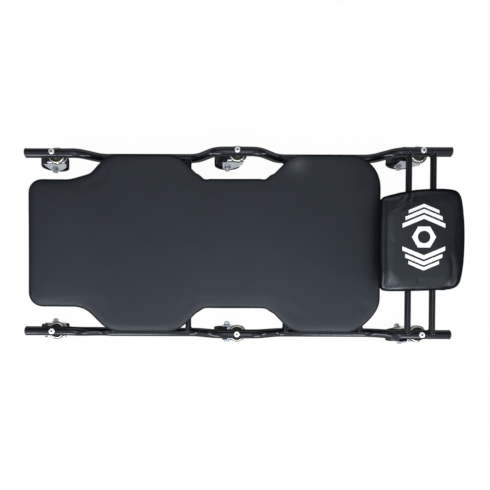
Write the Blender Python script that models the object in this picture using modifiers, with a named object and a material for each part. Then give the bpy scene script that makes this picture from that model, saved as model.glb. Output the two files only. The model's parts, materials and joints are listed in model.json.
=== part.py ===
"""Mechanic creeper: bent tube frame, waisted bed pad, headrest and six swivel casters.

Units are metres. +X points to the head end, +Y to the left of someone who looks that way
and +Z up. The origin lies on the floor under the middle of the creeper.
"""
import math

import bmesh
import bpy
from mathutils import Matrix, Vector

# Clearances
SEAT_GAP = 0.0003           # between pieces that rest on each other
HOLE_GAP = 0.0004           # round a shank or a pin in its hole
MERGE = 0.000001            # weld distance for a mesh's own points

# Facets
TUBE_BEVEL = 3
TUBE_SIDES = 2 * TUBE_BEVEL + 4
BEND_STEPS = 4              # segments in each rail bend
PIN_STEPS = 12
CAP_STEPS = 12
SCREW_STEPS = 8
HEX_SIDES = 6
WHEEL_STEPS = 20
CORNER_STEPS = 4            # segments in each rounded corner of an outline
DOME_STEPS = 3              # segments from the top of a domed head to its edge
PLATE_BEND_STEPS = 3        # segments in each bend of a fork's plate
DRAW_STEPS = 3              # levels of a pad below its fullest line
ROUND_STEPS = 5             # levels from there to the edge of its top
CROWN_STEPS = 2             # levels of its crowned top
SHARP_DEG = 35.0            # edges sharper than this stay crisp

# Caster stations along the creeper
MID_CASTER_X = -0.0043
FOOT_PITCH = 0.4210         # mid caster to foot caster
HEAD_PITCH = 0.4211         # mid caster to head caster

# Frame rails
RAIL_OD = 0.021
RAIL_WALL = 0.0015
RAIL_GAUGE = 0.418          # between rail centres at the mid and head casters
FOOT_TOE_IN = 0.0055        # how far each rail runs in at the foot casters
RAIL_DROP = 0.049           # from the arches over the casters to the dips between them
RAIL_BEND_R = 0.045
RAIL_BEND_DEG = 46.0
END_ARCH_REACH = 0.0763     # foot or head caster to the middle of its rail slope
MID_ARCH_REACH = 0.0732     # mid caster to the middle of each rail slope beside it
FOOT_RAIL_OVERHANG = 0.0613
HEAD_RAIL_OVERHANG = 0.0657

# Rail end plugs
PLUG_HEAD = 0.0035
PLUG_EDGE = 0.0009          # straight edge under the plug's dome
PLUG_LIP = 0.0004           # how far the plug's head stands out past the rail
PLUG_SPIGOT = 0.016
PLUG_TAPER = 0.0006

# Cross tubes
CROSS_OD = 0.014
CROSS_WALL = 0.0015
END_TUBE_REACH = 0.1246     # foot or head caster to the nearest tube under the bed
MID_TUBE_REACH = 0.1170     # mid caster to the tubes on both sides of it
HEAD_TUBE_FOOTWARD = 0.0300   # head caster to the two tubes under the headrest
HEAD_TUBE_HEADWARD = 0.0260

# Bed board and pad
BED_BOARD_T = 0.010
BED_BOARD_INSET = 0.009     # board edge inside the pad's widest line
PAD_T = 0.0317
PAD_EDGE_INSET = 0.002      # widest pad edge inside the rail centre line
PAD_FOOT_INSET = 0.0605     # pad edge at the foot end inside the rail centre line
PAD_WAIST_INSET = 0.0585    # pad edge at the waist inside the rail centre line
PAD_FOOT_OVERHANG = 0.0640  # foot caster to the pad's foot edge
PAD_FOOT_FLANK = 0.0640     # foot caster to the start of the first flare
PAD_MID_FLANK_FOOTWARD = 0.0825
PAD_MID_FLANK_HEADWARD = 0.0725
PAD_HEAD_SETBACK = 0.0881   # head caster to the pad's head edge
PAD_FOOT_CORNER_R = 0.032
PAD_FOOT_HOLLOW_R = 0.060
PAD_WAIST_HOLLOW_R = 0.035
PAD_SHOULDER_R = 0.065
PAD_HEAD_CORNER_R = 0.078
PAD_BELLY = 0.0145          # height of the pad's fullest line above its board
PAD_BOTTOM_DRAW = 0.007     # how far the cover is drawn in at the board
PAD_TOP_ROUND = 0.028       # width of the rounded band round the top
PAD_CROWN = 0.0025          # rise of the top from that band to the middle
PAD_SQUARENESS = 2.6        # 2 rounds a pad's edge as an ellipse, more makes it squarer
CROWN_REACH = 0.7           # how far towards the middle line a pad's crown climbs, as a share

# Headrest board and pad
HEAD_BOARD_T = 0.012
HEAD_BOARD_INSET = 0.005
HEAD_PAD_T = 0.037
HEAD_PAD_NECK_REACH = 0.1028  # head caster to the headrest's neck edge
HEAD_PAD_END_REACH = 0.0652   # head caster to the headrest's outer corners
HEAD_PAD_BULGE = 0.018        # how far the outer edge bows past those corners
HEAD_PAD_NECK_WIDTH = 0.206
HEAD_PAD_END_WIDTH = 0.225
HEAD_PAD_NECK_R = 0.022
HEAD_PAD_CORNER_R = 0.026
HEAD_PAD_BULGE_R = 0.400
HEAD_PAD_BELLY = 0.016
HEAD_PAD_BOTTOM_DRAW = 0.004
HEAD_PAD_TOP_ROUND = 0.019
HEAD_PAD_CROWN = 0.0035

# Board screws
SCREW_D = 0.005
SCREW_HEAD_D = 0.010
SCREW_FACE_D = 0.008        # flat end of the screw's head
SCREW_HEAD_T = 0.003
SCREW_BITE = 0.0075         # depth of the screw in its board
BED_SCREW_Y = 0.090
HEAD_SCREW_Y = 0.060

# Casters
WHEEL_D = 0.064
WHEEL_TREAD = 0.022         # flat width of the tread
WHEEL_RIM_W = 0.026
WHEEL_SHOULDER = 0.0015
WHEEL_RIM_DEPTH = 0.0065
WHEEL_WEB_W = 0.018
WHEEL_HUB_W = 0.0284
WHEEL_HUB_D = 0.019
WHEEL_DRAFT = 0.0012
AXLE_D = 0.008
AXLE_HEX = 0.0075           # corner radius of the axle bolt's head and nut
AXLE_HEAD_T = 0.0070
AXLE_NUT_T = 0.0070
AXLE_TIP = 0.0015           # thread past the nut
HEX_CHAMFER = 0.0012
CASTER_TRAIL = 0.0245
FORK_RISE = 0.0469          # axle to the top of the fork's crown
FORK_PLATE = 0.0025
FORK_BEND_R = 0.005
FORK_CROWN_R = 0.022
FORK_FRONT_LIP = 0.0080
FORK_FRONT_X = -0.0160      # where the front edge leaves the lip
FORK_KNEE_X = -0.0116       # the front edge bends round this point to the axle boss
FORK_KNEE_RISE = 0.0109     # the same point's height over the axle
FORK_BACK_X = 0.0230        # back edge of the crown
FORK_LEG_BACK_X = 0.0350    # back corner of the legs, which reach past the crown
FORK_LEG_TOP_DROP = 0.0056  # from the crown down to the legs' top edge behind it
FORK_LEG_BACK_DROP = 0.0080
FORK_BOSS_R = 0.0108
TRIM_MARGIN = 0.0005        # how far a trimming outline passes the plate that it trims
PIN_D = 0.012
PIN_FLANGE_D = 0.018
PIN_RIVET_D = 0.015         # flat end of the riveted flange
PIN_FLANGE_T = 0.0025
RACE_D = 0.035
RACE_RIM_T = 0.0020
RACE_RIM_H = 0.0062
RACE_RIM_CHAMFER = 0.0008
RACE_RIM_DRAFT = 0.0012     # slope of the rim's inner side
RACE_FLOOR_T = 0.0032
RACE_BOSS_D = 0.017
RACE_H = 0.0079             # from the fork's crown to the underside of the rail
BOLT_D = 0.008
BOLT_HEAD_D = 0.0125
BOLT_CROWN_D = 0.0069       # flat top of the bolt's domed head
BOLT_HEAD_T = 0.0036
BOLT_EDGE = 0.0009          # straight edge under that dome
BOLT_SOCKET_R = 0.0029
BOLT_SOCKET_DEPTH = 0.0022
BOLT_END_GAP = 0.0020       # between the bolt's end and the bottom of its bore

# Which way each wheel trails from its king pin, in degrees from +X towards +Y
TRAIL_DEG = {
    ("foot", "left"): 180.0,
    ("mid", "left"): 180.0,
    ("head", "left"): 171.95,
    ("foot", "right"): 180.0,
    ("mid", "right"): 180.0,
    ("head", "right"): 189.0,
}
SIDES = ("left", "right")
EMPTY_SIZE = 0.02           # how large a joint's empty is drawn

# Levels and lines worked out from the sizes above
FOOT_CASTER_X = MID_CASTER_X - FOOT_PITCH
HEAD_CASTER_X = MID_CASTER_X + HEAD_PITCH
CASTER_X = {"foot": FOOT_CASTER_X, "mid": MID_CASTER_X, "head": HEAD_CASTER_X}
AXLE_Z = 0.5 * WHEEL_D * math.cos(math.pi / WHEEL_STEPS)
CROWN_Z = AXLE_Z + FORK_RISE
RACE_TOP_Z = CROWN_Z + SEAT_GAP + RACE_H
RAIL_SEAT = 0.5 * RAIL_OD * math.cos(math.pi / TUBE_SIDES)    # rail centre to its top facet
CROSS_SEAT = 0.5 * CROSS_OD * math.cos(math.pi / TUBE_SIDES)
ARCH_Z = RACE_TOP_Z + SEAT_GAP + RAIL_SEAT
DIP_Z = ARCH_Z - RAIL_DROP
BED_TUBE_Z = DIP_Z + RAIL_SEAT - CROSS_SEAT
HEAD_TUBE_Z = ARCH_Z + RAIL_SEAT - CROSS_SEAT
BED_BOARD_Z = DIP_Z + RAIL_SEAT + SEAT_GAP
PAD_Z = BED_BOARD_Z + BED_BOARD_T + SEAT_GAP
HEAD_BOARD_Z = ARCH_Z + RAIL_SEAT + SEAT_GAP
HEAD_PAD_Z = HEAD_BOARD_Z + HEAD_BOARD_T + SEAT_GAP
FORK_INSIDE = WHEEL_HUB_W + 2.0 * SEAT_GAP
FORK_OUTSIDE = FORK_INSIDE + 2.0 * FORK_PLATE
BED_TUBE_X = {
    "foot": FOOT_CASTER_X + END_TUBE_REACH,
    "mid_footward": MID_CASTER_X - MID_TUBE_REACH,
    "mid_headward": MID_CASTER_X + MID_TUBE_REACH,
    "head": HEAD_CASTER_X - END_TUBE_REACH,
}
HEAD_TUBE_X = {
    "neck": HEAD_CASTER_X - HEAD_TUBE_FOOTWARD,
    "crown": HEAD_CASTER_X + HEAD_TUBE_HEADWARD,
}


# Working meshes

def working_object(data):
    """An object that exists only while its shape is worked out."""
    thing = bpy.data.objects.new("working", data)
    bpy.context.scene.collection.objects.link(thing)
    return thing


def baked(thing):
    """The finished mesh of a working object, which is then removed."""
    depsgraph = bpy.context.evaluated_depsgraph_get()
    mesh = bpy.data.meshes.new_from_object(thing.evaluated_get(depsgraph))
    bpy.data.objects.remove(thing)
    cage = bmesh.new()
    cage.from_mesh(mesh)
    bmesh.ops.remove_doubles(cage, verts=cage.verts, dist=MERGE)
    bmesh.ops.recalc_face_normals(cage, faces=cage.faces)
    cage.to_mesh(mesh)
    cage.free()
    return mesh


def turned(profile, steps, closed=False):
    """A profile of (radius, height) points, outer side from top to bottom, turned about Z."""
    edges = [(i, i + 1) for i in range(len(profile) - 1)]
    if closed:
        edges.append((len(profile) - 1, 0))
    data = bpy.data.meshes.new("profile")
    data.from_pydata([(radius, 0.0, height) for radius, height in profile], edges, [])
    thing = working_object(data)
    screw = thing.modifiers.new("turn", "SCREW")
    screw.steps = steps
    screw.render_steps = steps
    screw.use_merge_vertices = True
    screw.merge_threshold = MERGE
    return baked(thing)


def cylinder(radius, low, high, steps):
    """A closed round bar about Z, from one height to another."""
    return turned([(0.0, high), (radius, high), (radius, low), (0.0, low)], steps)


def prism(outline, thickness):
    """A flat outline of (x, y) points, thickened upwards from z = 0."""
    data = bpy.data.curves.new("outline", "CURVE")
    data.dimensions = "2D"
    data.fill_mode = "BOTH"
    data.extrude = 0.5 * thickness
    spline = data.splines.new("POLY")
    spline.points.add(len(outline) - 1)
    for point, (x, y) in zip(spline.points, outline):
        point.co = (x, y, 0.0, 1.0)
    spline.use_cyclic_u = True
    mesh = baked(working_object(data))
    mesh.transform(Matrix.Translation((0.0, 0.0, 0.5 * thickness)))
    return mesh


def tube(route, radius, wall=None):
    """A tube along a route of (x, y, z) points, or a solid bar if it has no wall."""
    data = bpy.data.curves.new("route", "CURVE")
    data.dimensions = "3D"
    data.bevel_depth = radius
    data.bevel_resolution = TUBE_BEVEL
    data.use_fill_caps = wall is None
    spline = data.splines.new("POLY")
    spline.points.add(len(route) - 1)
    for point, place in zip(spline.points, route):
        point.co = (*place, 1.0)
    thing = working_object(data)
    if wall:
        shell = thing.modifiers.new("wall", "SOLIDIFY")
        shell.thickness = wall
        shell.offset = -1.0
        shell.use_even_offset = True
    return baked(thing)


def lofted(rings):
    """A closed solid through rings of matching points, lowest ring first."""
    cage = bmesh.new()
    rows = [[cage.verts.new(point) for point in ring] for ring in rings]
    count = len(rings[0])
    for low, high in zip(rows, rows[1:]):
        for i in range(count):
            j = (i + 1) % count
            cage.faces.new((low[i], low[j], high[j], high[i]))
    cage.faces.new(list(reversed(rows[0])))
    cage.faces.new(rows[-1])
    mesh = bpy.data.meshes.new("loft")
    cage.to_mesh(mesh)
    cage.free()
    return mesh


def shaped(mesh, *operations):
    """Applies Boolean operations in turn, each given as (operation, tool mesh)."""
    thing = working_object(mesh)
    tools = []
    for operation, tool_mesh in operations:
        tool = working_object(tool_mesh)
        step = thing.modifiers.new(operation.lower(), "BOOLEAN")
        step.operation = operation
        step.solver = "EXACT"
        step.object = tool
        tools.append(tool)
    result = baked(thing)
    for tool in tools:
        bpy.data.objects.remove(tool)
    return result


def moved(mesh, matrix):
    """The same mesh after a move or a turn."""
    mesh.transform(matrix)
    return mesh


def translated(mesh, x=0.0, y=0.0, z=0.0):
    return moved(mesh, Matrix.Translation((x, y, z)))


def across(side, distance):
    """A distance from the middle plane to one side: left is +Y."""
    return distance if side == "left" else -distance


def dome(outer, inner, low, high):
    """Profile points of a domed head, a quarter ellipse from its top down to its edge."""
    points = []
    for step in range(DOME_STEPS + 1):
        angle = 0.5 * math.pi * step / DOME_STEPS
        points.append((inner + (outer - inner) * math.sin(angle), low + (high - low) * math.cos(angle)))
    return points


# Outlines

def filleted(corners, segments):
    """Rounds a counter-clockwise outline of (x, y, radius) corners.

    Returns (point, outward normal) pairs, so that the outline can be offset exactly.
    """
    rounded = []
    for i, (x, y, radius) in enumerate(corners):
        here = Vector((x, y))
        arriving = (here - Vector(corners[i - 1][:2])).normalized()
        leaving = (Vector(corners[(i + 1) % len(corners)][:2]) - here).normalized()
        turn = arriving.angle_signed(leaving) * -1.0
        side = math.copysign(1.0, turn)
        start = here - arriving * radius * math.tan(0.5 * abs(turn))
        first = Vector((arriving.y, -arriving.x))
        centre = start - first * radius * side
        for step in range(segments + 1):
            normal = first.copy()
            normal.rotate(Matrix.Rotation(turn * step / segments, 2))
            rounded.append((centre + normal * radius * side, normal))
    return rounded


def offset_outline(outline, distance):
    """The outline's (x, y) points, moved outwards by a distance."""
    return [tuple(point + normal * distance) for point, normal in outline]


def ring_at(outline, distance, height):
    """One level of a loft: the offset outline at a height."""
    return [(x, y, height) for x, y in offset_outline(outline, distance)]


def bed_outline():
    """Widest line of the bed pad: straight waists, 45 degree flares and round shoulders."""
    wide = 0.5 * RAIL_GAUGE - PAD_EDGE_INSET
    waist = 0.5 * RAIL_GAUGE - PAD_WAIST_INSET
    foot = 0.5 * RAIL_GAUGE - PAD_FOOT_INSET
    flare = wide - waist
    foot_flank = FOOT_CASTER_X + PAD_FOOT_FLANK
    mid_footward = MID_CASTER_X - PAD_MID_FLANK_FOOTWARD
    mid_headward = MID_CASTER_X + PAD_MID_FLANK_HEADWARD
    half = [
        (FOOT_CASTER_X - PAD_FOOT_OVERHANG, foot, PAD_FOOT_CORNER_R),
        (foot_flank, foot, PAD_FOOT_HOLLOW_R),
        (foot_flank + wide - foot, wide, PAD_SHOULDER_R),
        (mid_footward - flare, wide, PAD_SHOULDER_R),
        (mid_footward, waist, PAD_WAIST_HOLLOW_R),
        (mid_headward, waist, PAD_WAIST_HOLLOW_R),
        (mid_headward + flare, wide, PAD_SHOULDER_R),
        (HEAD_CASTER_X - PAD_HEAD_SETBACK, wide, PAD_HEAD_CORNER_R),
    ]
    right = [(x, -y, radius) for x, y, radius in half]
    return filleted(right + half[::-1], CORNER_STEPS)


def head_outline():
    """Widest line of the headrest pad: wider and bowed at its outer end."""
    neck_x = HEAD_CASTER_X - HEAD_PAD_NECK_REACH
    end_x = HEAD_CASTER_X + HEAD_PAD_END_REACH
    corners = [
        (neck_x, -0.5 * HEAD_PAD_NECK_WIDTH, HEAD_PAD_NECK_R),
        (end_x, -0.5 * HEAD_PAD_END_WIDTH, HEAD_PAD_CORNER_R),
        (end_x + HEAD_PAD_BULGE, 0.0, HEAD_PAD_BULGE_R),
        (end_x, 0.5 * HEAD_PAD_END_WIDTH, HEAD_PAD_CORNER_R),
        (neck_x, 0.5 * HEAD_PAD_NECK_WIDTH, HEAD_PAD_NECK_R),
    ]
    return filleted(corners, CORNER_STEPS + 1)


def pad_sides(outline, base, belly, edge, draw, rounding):
    """Levels of a stuffed pad's side: drawn in at its board, full at its belly, rounded at its top edge."""
    rings = []
    for step in range(DRAW_STEPS):
        angle = 0.5 * math.pi * step / DRAW_STEPS
        inset = draw * (1.0 - math.sin(angle))
        rings.append(ring_at(outline, -inset, base + belly * (1.0 - math.cos(angle))))
    power = 2.0 / PAD_SQUARENESS
    for step in range(ROUND_STEPS + 1):
        angle = 0.5 * math.pi * step / ROUND_STEPS
        inset = rounding * (1.0 - math.cos(angle) ** power)
        rings.append(ring_at(outline, -inset, base + belly + (edge - belly) * math.sin(angle) ** power))
    return rings


def pad_crown(edge_ring, spine, crown):
    """Levels of a pad's top, climbing from its edge towards a middle line between two x places."""
    rings = []
    for step in range(1, CROWN_STEPS + 1):
        share = step / CROWN_STEPS
        pull = CROWN_REACH * share
        climb = crown * (1.0 - (1.0 - share) ** 2)
        ring = []
        for x, y, z in edge_ring:
            spine_x = min(max(x, spine[0]), spine[1])
            ring.append((x + pull * (spine_x - x), y - pull * y, z + climb))
        rings.append(ring)
    return rings


def bed_pad():
    """The bed pad: a stuffed form on the bed's outline, crowned along its length."""
    foot_reach = 0.5 * RAIL_GAUGE - PAD_FOOT_INSET
    head_reach = 0.5 * RAIL_GAUGE - PAD_EDGE_INSET
    spine = (
        FOOT_CASTER_X - PAD_FOOT_OVERHANG + foot_reach,
        HEAD_CASTER_X - PAD_HEAD_SETBACK - head_reach,
    )
    edge = PAD_T - PAD_CROWN
    sides = pad_sides(bed_outline(), PAD_Z, PAD_BELLY, edge, PAD_BOTTOM_DRAW, PAD_TOP_ROUND)
    return lofted(sides + pad_crown(sides[-1], spine, PAD_CROWN))


def head_pad():
    """The headrest pad: a stuffed form on the headrest's outline, crowned about its middle."""
    middle = HEAD_CASTER_X + 0.5 * (HEAD_PAD_END_REACH - HEAD_PAD_NECK_REACH)
    edge = HEAD_PAD_T - HEAD_PAD_CROWN
    sides = pad_sides(
        head_outline(), HEAD_PAD_Z, HEAD_PAD_BELLY, edge, HEAD_PAD_BOTTOM_DRAW, HEAD_PAD_TOP_ROUND
    )
    return lofted(sides + pad_crown(sides[-1], (middle, middle), HEAD_PAD_CROWN))


# Frame

def slope_points():
    """One rail slope about its middle, going down along +x, as (x, z) points."""
    radius = RAIL_BEND_R
    full_turn = math.acos(max(-1.0, 1.0 - 0.5 * RAIL_DROP / radius))
    bend = min(math.radians(RAIL_BEND_DEG), full_turn)
    straight = (RAIL_DROP - 2.0 * radius * (1.0 - math.cos(bend))) / math.sin(bend)
    half_run = radius * math.sin(bend) + 0.5 * straight * math.cos(bend)
    half_drop = 0.5 * RAIL_DROP
    turns = [bend * step / BEND_STEPS for step in range(BEND_STEPS + 1)]
    upper = [(radius * math.sin(t) - half_run, half_drop - radius + radius * math.cos(t)) for t in turns]
    lower = [(-x, -z) for x, z in reversed(upper)]
    return upper + lower


def rail_half_gauge(x):
    """Half the distance between the rails: they run in along the slope nearest to the foot."""
    half_run = slope_points()[-1][0]
    toe_start = FOOT_CASTER_X + END_ARCH_REACH - half_run
    toe_end = FOOT_CASTER_X + END_ARCH_REACH + half_run
    share = min(1.0, max(0.0, (toe_end - x) / (toe_end - toe_start)))
    return 0.5 * RAIL_GAUGE - share * FOOT_TOE_IN


def rail_route(side):
    """Centre line of a rail from foot to head: arches over the casters, dips between them."""
    slope = slope_points()
    rise = [(-x, z) for x, z in reversed(slope)]
    middle_z = ARCH_Z - 0.5 * RAIL_DROP
    slopes = [
        (FOOT_CASTER_X + END_ARCH_REACH, slope),
        (MID_CASTER_X - MID_ARCH_REACH, rise),
        (MID_CASTER_X + MID_ARCH_REACH, slope),
        (HEAD_CASTER_X - END_ARCH_REACH, rise),
    ]
    profile = [(FOOT_CASTER_X - FOOT_RAIL_OVERHANG, ARCH_Z)]
    for centre_x, points in slopes:
        profile += [(centre_x + x, middle_z + z) for x, z in points]
    profile.append((HEAD_CASTER_X + HEAD_RAIL_OVERHANG, ARCH_Z))
    return [(x, across(side, rail_half_gauge(x)), z) for x, z in profile]


def rail(side):
    """A bent tube with a bolt hole through each arch."""
    cuts = []
    for x in CASTER_X.values():
        hole = cylinder(0.5 * BOLT_D + HOLE_GAP, ARCH_Z - RAIL_OD, ARCH_Z + RAIL_OD, PIN_STEPS)
        cuts.append(("DIFFERENCE", translated(hole, x, across(side, rail_half_gauge(x)))))
    return shaped(tube(rail_route(side), 0.5 * RAIL_OD, RAIL_WALL), *cuts)


def cross_tube(x, z, screw_y=None):
    """A straight tube between the rails, its ends coped to fit them, drilled for board screws."""
    half = rail_half_gauge(x)
    straight = tube([(x, across(side, half), z) for side in SIDES], 0.5 * CROSS_OD, CROSS_WALL)
    cuts = []
    for side in SIDES:
        cope = tube(rail_route(side), 0.5 * RAIL_OD + SEAT_GAP)
        cuts.append(("DIFFERENCE", cope))
        if screw_y:
            hole = cylinder(0.5 * SCREW_D + HOLE_GAP, z - CROSS_OD, z + CROSS_OD, SCREW_STEPS)
            cuts.append(("DIFFERENCE", translated(hole, x, across(side, screw_y))))
    return shaped(straight, *cuts)


def rail_plug():
    """A domed plug about Z, its head above z = 0 and its tapered spigot below."""
    head_r = 0.5 * RAIL_OD + PLUG_LIP
    spigot_r = RAIL_SEAT - RAIL_WALL - SEAT_GAP
    profile = [
        *dome(head_r, 0.0, PLUG_EDGE, PLUG_HEAD),
        (head_r, 0.0),
        (spigot_r, 0.0),
        (spigot_r - PLUG_TAPER, -PLUG_SPIGOT),
        (0.0, -PLUG_SPIGOT),
    ]
    return turned(profile, PIN_STEPS)


# Boards and pads

def board(outline, inset, base, thickness, screw_places):
    """A flat board with a blind screw hole in its underside at each place."""
    plate = translated(prism(offset_outline(outline, -inset), thickness), z=base)
    cuts = []
    for x, y in screw_places:
        depth = SCREW_BITE + SEAT_GAP
        hole = cylinder(0.5 * SCREW_D + HOLE_GAP, base - thickness, base + depth, SCREW_STEPS)
        cuts.append(("DIFFERENCE", translated(hole, x, y)))
    return shaped(plate, *cuts)


def board_screw():
    """A pan head screw about Z, its head's seat at z = 0 and its shank pointing up."""
    shank_r = 0.5 * SCREW_D
    head_r = 0.5 * SCREW_HEAD_D
    length = 2.0 * (SEAT_GAP + CROSS_SEAT) + SCREW_BITE
    profile = [
        (0.0, length),
        (shank_r, length),
        (shank_r, 0.0),
        (head_r, 0.0),
        (0.5 * SCREW_FACE_D, -SCREW_HEAD_T),
        (0.0, -SCREW_HEAD_T),
    ]
    return turned(profile, SCREW_STEPS)


# Casters, each piece about its own king pin with the wheel trailing along +x

def wheel():
    """A one-piece wheel about Z: flat tread, deep rim, dished web and wide hub."""
    radius = 0.5 * WHEEL_D
    rim_r = radius - WHEEL_RIM_DEPTH
    hub_r = 0.5 * WHEEL_HUB_D
    bore_r = 0.5 * AXLE_D + HOLE_GAP
    half = [
        (radius, 0.5 * WHEEL_TREAD),
        (radius - WHEEL_SHOULDER, 0.5 * WHEEL_RIM_W),
        (rim_r, 0.5 * WHEEL_RIM_W),
        (rim_r - WHEEL_DRAFT, 0.5 * WHEEL_WEB_W),
        (hub_r + WHEEL_DRAFT, 0.5 * WHEEL_WEB_W),
        (hub_r, 0.5 * WHEEL_HUB_W),
        (bore_r, 0.5 * WHEEL_HUB_W),
    ]
    profile = half + [(r, -z) for r, z in reversed(half)]
    turned_wheel = turned(profile, WHEEL_STEPS, closed=True)
    flat_down = Matrix.Rotation(math.pi / WHEEL_STEPS, 4, "Z")
    return moved(turned_wheel, Matrix.Rotation(-0.5 * math.pi, 4, "X") @ flat_down)


def fork_end():
    """How far behind the king pin the fork's untrimmed plate reaches."""
    return max(FORK_LEG_BACK_X, CASTER_TRAIL + FORK_BOSS_R) + FORK_PLATE


def fork_side_outline():
    """Side view of the fork: crown, front lip and broad legs that bend round to an axle boss."""
    over = FORK_PLATE
    front = Vector((FORK_FRONT_X, CROWN_Z - FORK_FRONT_LIP))
    back = Vector((FORK_LEG_BACK_X, CROWN_Z - FORK_LEG_BACK_DROP))
    axle = Vector((CASTER_TRAIL, AXLE_Z))
    knee = Vector((FORK_KNEE_X, AXLE_Z + FORK_KNEE_RISE))
    to_knee = knee - axle
    to_back = back - axle
    first = math.atan2(to_knee.y, to_knee.x) + math.acos(FORK_BOSS_R / to_knee.length)
    last = math.atan2(to_back.y, to_back.x) - math.acos(FORK_BOSS_R / to_back.length) + 2.0 * math.pi
    outline = [
        (FORK_BACK_X, CROWN_Z + over),
        (-FORK_CROWN_R - over, CROWN_Z + over),
        (-FORK_CROWN_R - over, CROWN_Z - FORK_FRONT_LIP),
        tuple(front),
    ]
    boss_start = axle + FORK_BOSS_R * Vector((math.cos(first), math.sin(first)))
    for step in range(1, CORNER_STEPS):
        done = step / CORNER_STEPS
        rest = 1.0 - done
        outline.append(tuple(rest * rest * front + 2.0 * done * rest * knee + done * done * boss_start))
    boss_steps = 2 * CORNER_STEPS
    for step in range(boss_steps + 1):
        angle = first + (last - first) * step / boss_steps
        outline.append((axle.x + FORK_BOSS_R * math.cos(angle), axle.y + FORK_BOSS_R * math.sin(angle)))
    outline.append(tuple(back))
    outline.append((FORK_BACK_X, CROWN_Z - FORK_LEG_TOP_DROP))
    return outline


def fork_plan_outline():
    """Plan view of the fork: a round front about the king pin and straight sides."""
    half = 0.5 * FORK_OUTSIDE + TRIM_MARGIN
    sweep = math.asin(half / FORK_CROWN_R)
    steps = 2 * CORNER_STEPS
    outline = []
    for step in range(steps + 1):
        angle = math.pi - sweep + 2.0 * sweep * step / steps
        outline.append((FORK_CROWN_R * math.cos(angle), FORK_CROWN_R * math.sin(angle)))
    return outline + [(fork_end(), -half), (fork_end(), half)]


def fork_channel():
    """Bent plate of the fork: an inverted U section, run along x."""
    low = AXLE_Z - FORK_BOSS_R - FORK_PLATE
    outer = 0.5 * FORK_OUTSIDE
    inner = 0.5 * FORK_INSIDE
    inner_r = FORK_BEND_R - FORK_PLATE
    right = []
    left = []
    for half, top, radius in ((outer, CROWN_Z, FORK_BEND_R), (inner, CROWN_Z - FORK_PLATE, inner_r)):
        arc = [0.5 * math.pi * step / PLATE_BEND_STEPS for step in range(PLATE_BEND_STEPS + 1)]
        corner = [(half - radius + radius * math.cos(t), top - radius + radius * math.sin(t)) for t in arc]
        right.append([(half, low)] + corner)
        left.append([(-y, z) for y, z in reversed([(half, low)] + corner)])
    section = right[0] + left[0] + left[1][::-1] + right[1][::-1]
    start = -FORK_CROWN_R - FORK_PLATE
    along_x = Matrix(((0, 0, 1, 0), (1, 0, 0, 0), (0, 1, 0, 0), (0, 0, 0, 1)))
    return translated(moved(prism(section, fork_end() - start), along_x), x=start)


def fork():
    """A stamped fork: the bent plate, trimmed to its side and plan views and drilled."""
    upright = Matrix.Rotation(0.5 * math.pi, 4, "X")
    width = 2.0 * FORK_OUTSIDE
    side_view = translated(moved(prism(fork_side_outline(), width), upright), y=0.5 * width)
    plan_view = prism(fork_plan_outline(), CROWN_Z + FORK_PLATE)
    pin_hole = cylinder(0.5 * PIN_D + HOLE_GAP, CROWN_Z - 2.0 * FORK_PLATE, CROWN_Z + FORK_PLATE, CAP_STEPS)
    axle_hole = cylinder(0.5 * AXLE_D + HOLE_GAP, -0.5 * width, 0.5 * width, PIN_STEPS)
    axle_hole = translated(moved(axle_hole, upright), CASTER_TRAIL, 0.0, AXLE_Z)
    return shaped(
        fork_channel(),
        ("INTERSECT", side_view),
        ("INTERSECT", plan_view),
        ("DIFFERENCE", pin_hole),
        ("DIFFERENCE", axle_hole),
    )


def swivel_cap():
    """The dished upper race with its boss, and the king pin riveted under the fork's crown."""
    base = CROWN_Z + SEAT_GAP
    under = CROWN_Z - FORK_PLATE - SEAT_GAP
    bore_r = 0.5 * BOLT_D + HOLE_GAP
    rim_r = 0.5 * RACE_D
    profile = [
        (0.0, under),
        (bore_r, under),
        (bore_r, RACE_TOP_Z),
        (0.5 * RACE_BOSS_D, RACE_TOP_Z),
        (0.5 * RACE_BOSS_D, base + RACE_FLOOR_T),
        (rim_r - RACE_RIM_T - RACE_RIM_DRAFT, base + RACE_FLOOR_T),
        (rim_r - RACE_RIM_T, base + RACE_RIM_H),
        (rim_r - RACE_RIM_CHAMFER, base + RACE_RIM_H),
        (rim_r, base + RACE_RIM_H - RACE_RIM_CHAMFER),
        (rim_r, base),
        (0.5 * PIN_D, base),
        (0.5 * PIN_D, under),
        (0.5 * PIN_FLANGE_D, under),
        (0.5 * PIN_RIVET_D, under - PIN_FLANGE_T),
        (0.0, under - PIN_FLANGE_T),
    ]
    return turned(profile, CAP_STEPS)


def caster_bolt():
    """A socket button bolt about Z, its head's seat at z = 0 and its shank pointing down."""
    head_r = 0.5 * BOLT_HEAD_D
    shank_r = 0.5 * BOLT_D
    bore_floor = CROWN_Z - FORK_PLATE - SEAT_GAP
    length = ARCH_Z + RAIL_SEAT + SEAT_GAP - bore_floor - BOLT_END_GAP
    profile = [
        (0.0, BOLT_HEAD_T),
        *dome(head_r, 0.5 * BOLT_CROWN_D, BOLT_EDGE, BOLT_HEAD_T),
        (head_r, 0.0),
        (shank_r, 0.0),
        (shank_r, -length),
        (0.0, -length),
    ]
    socket = cylinder(BOLT_SOCKET_R, BOLT_HEAD_T - BOLT_SOCKET_DEPTH, 2.0 * BOLT_HEAD_T, HEX_SIDES)
    return shaped(turned(profile, PIN_STEPS), ("DIFFERENCE", socket))


def hexagon(base, thickness):
    """A six-sided head about Z, chamfered on top."""
    top = base + thickness
    profile = [
        (0.0, top),
        (AXLE_HEX - HEX_CHAMFER, top),
        (AXLE_HEX, top - HEX_CHAMFER),
        (AXLE_HEX, base),
        (0.0, base),
    ]
    return turned(profile, HEX_SIDES)


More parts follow.
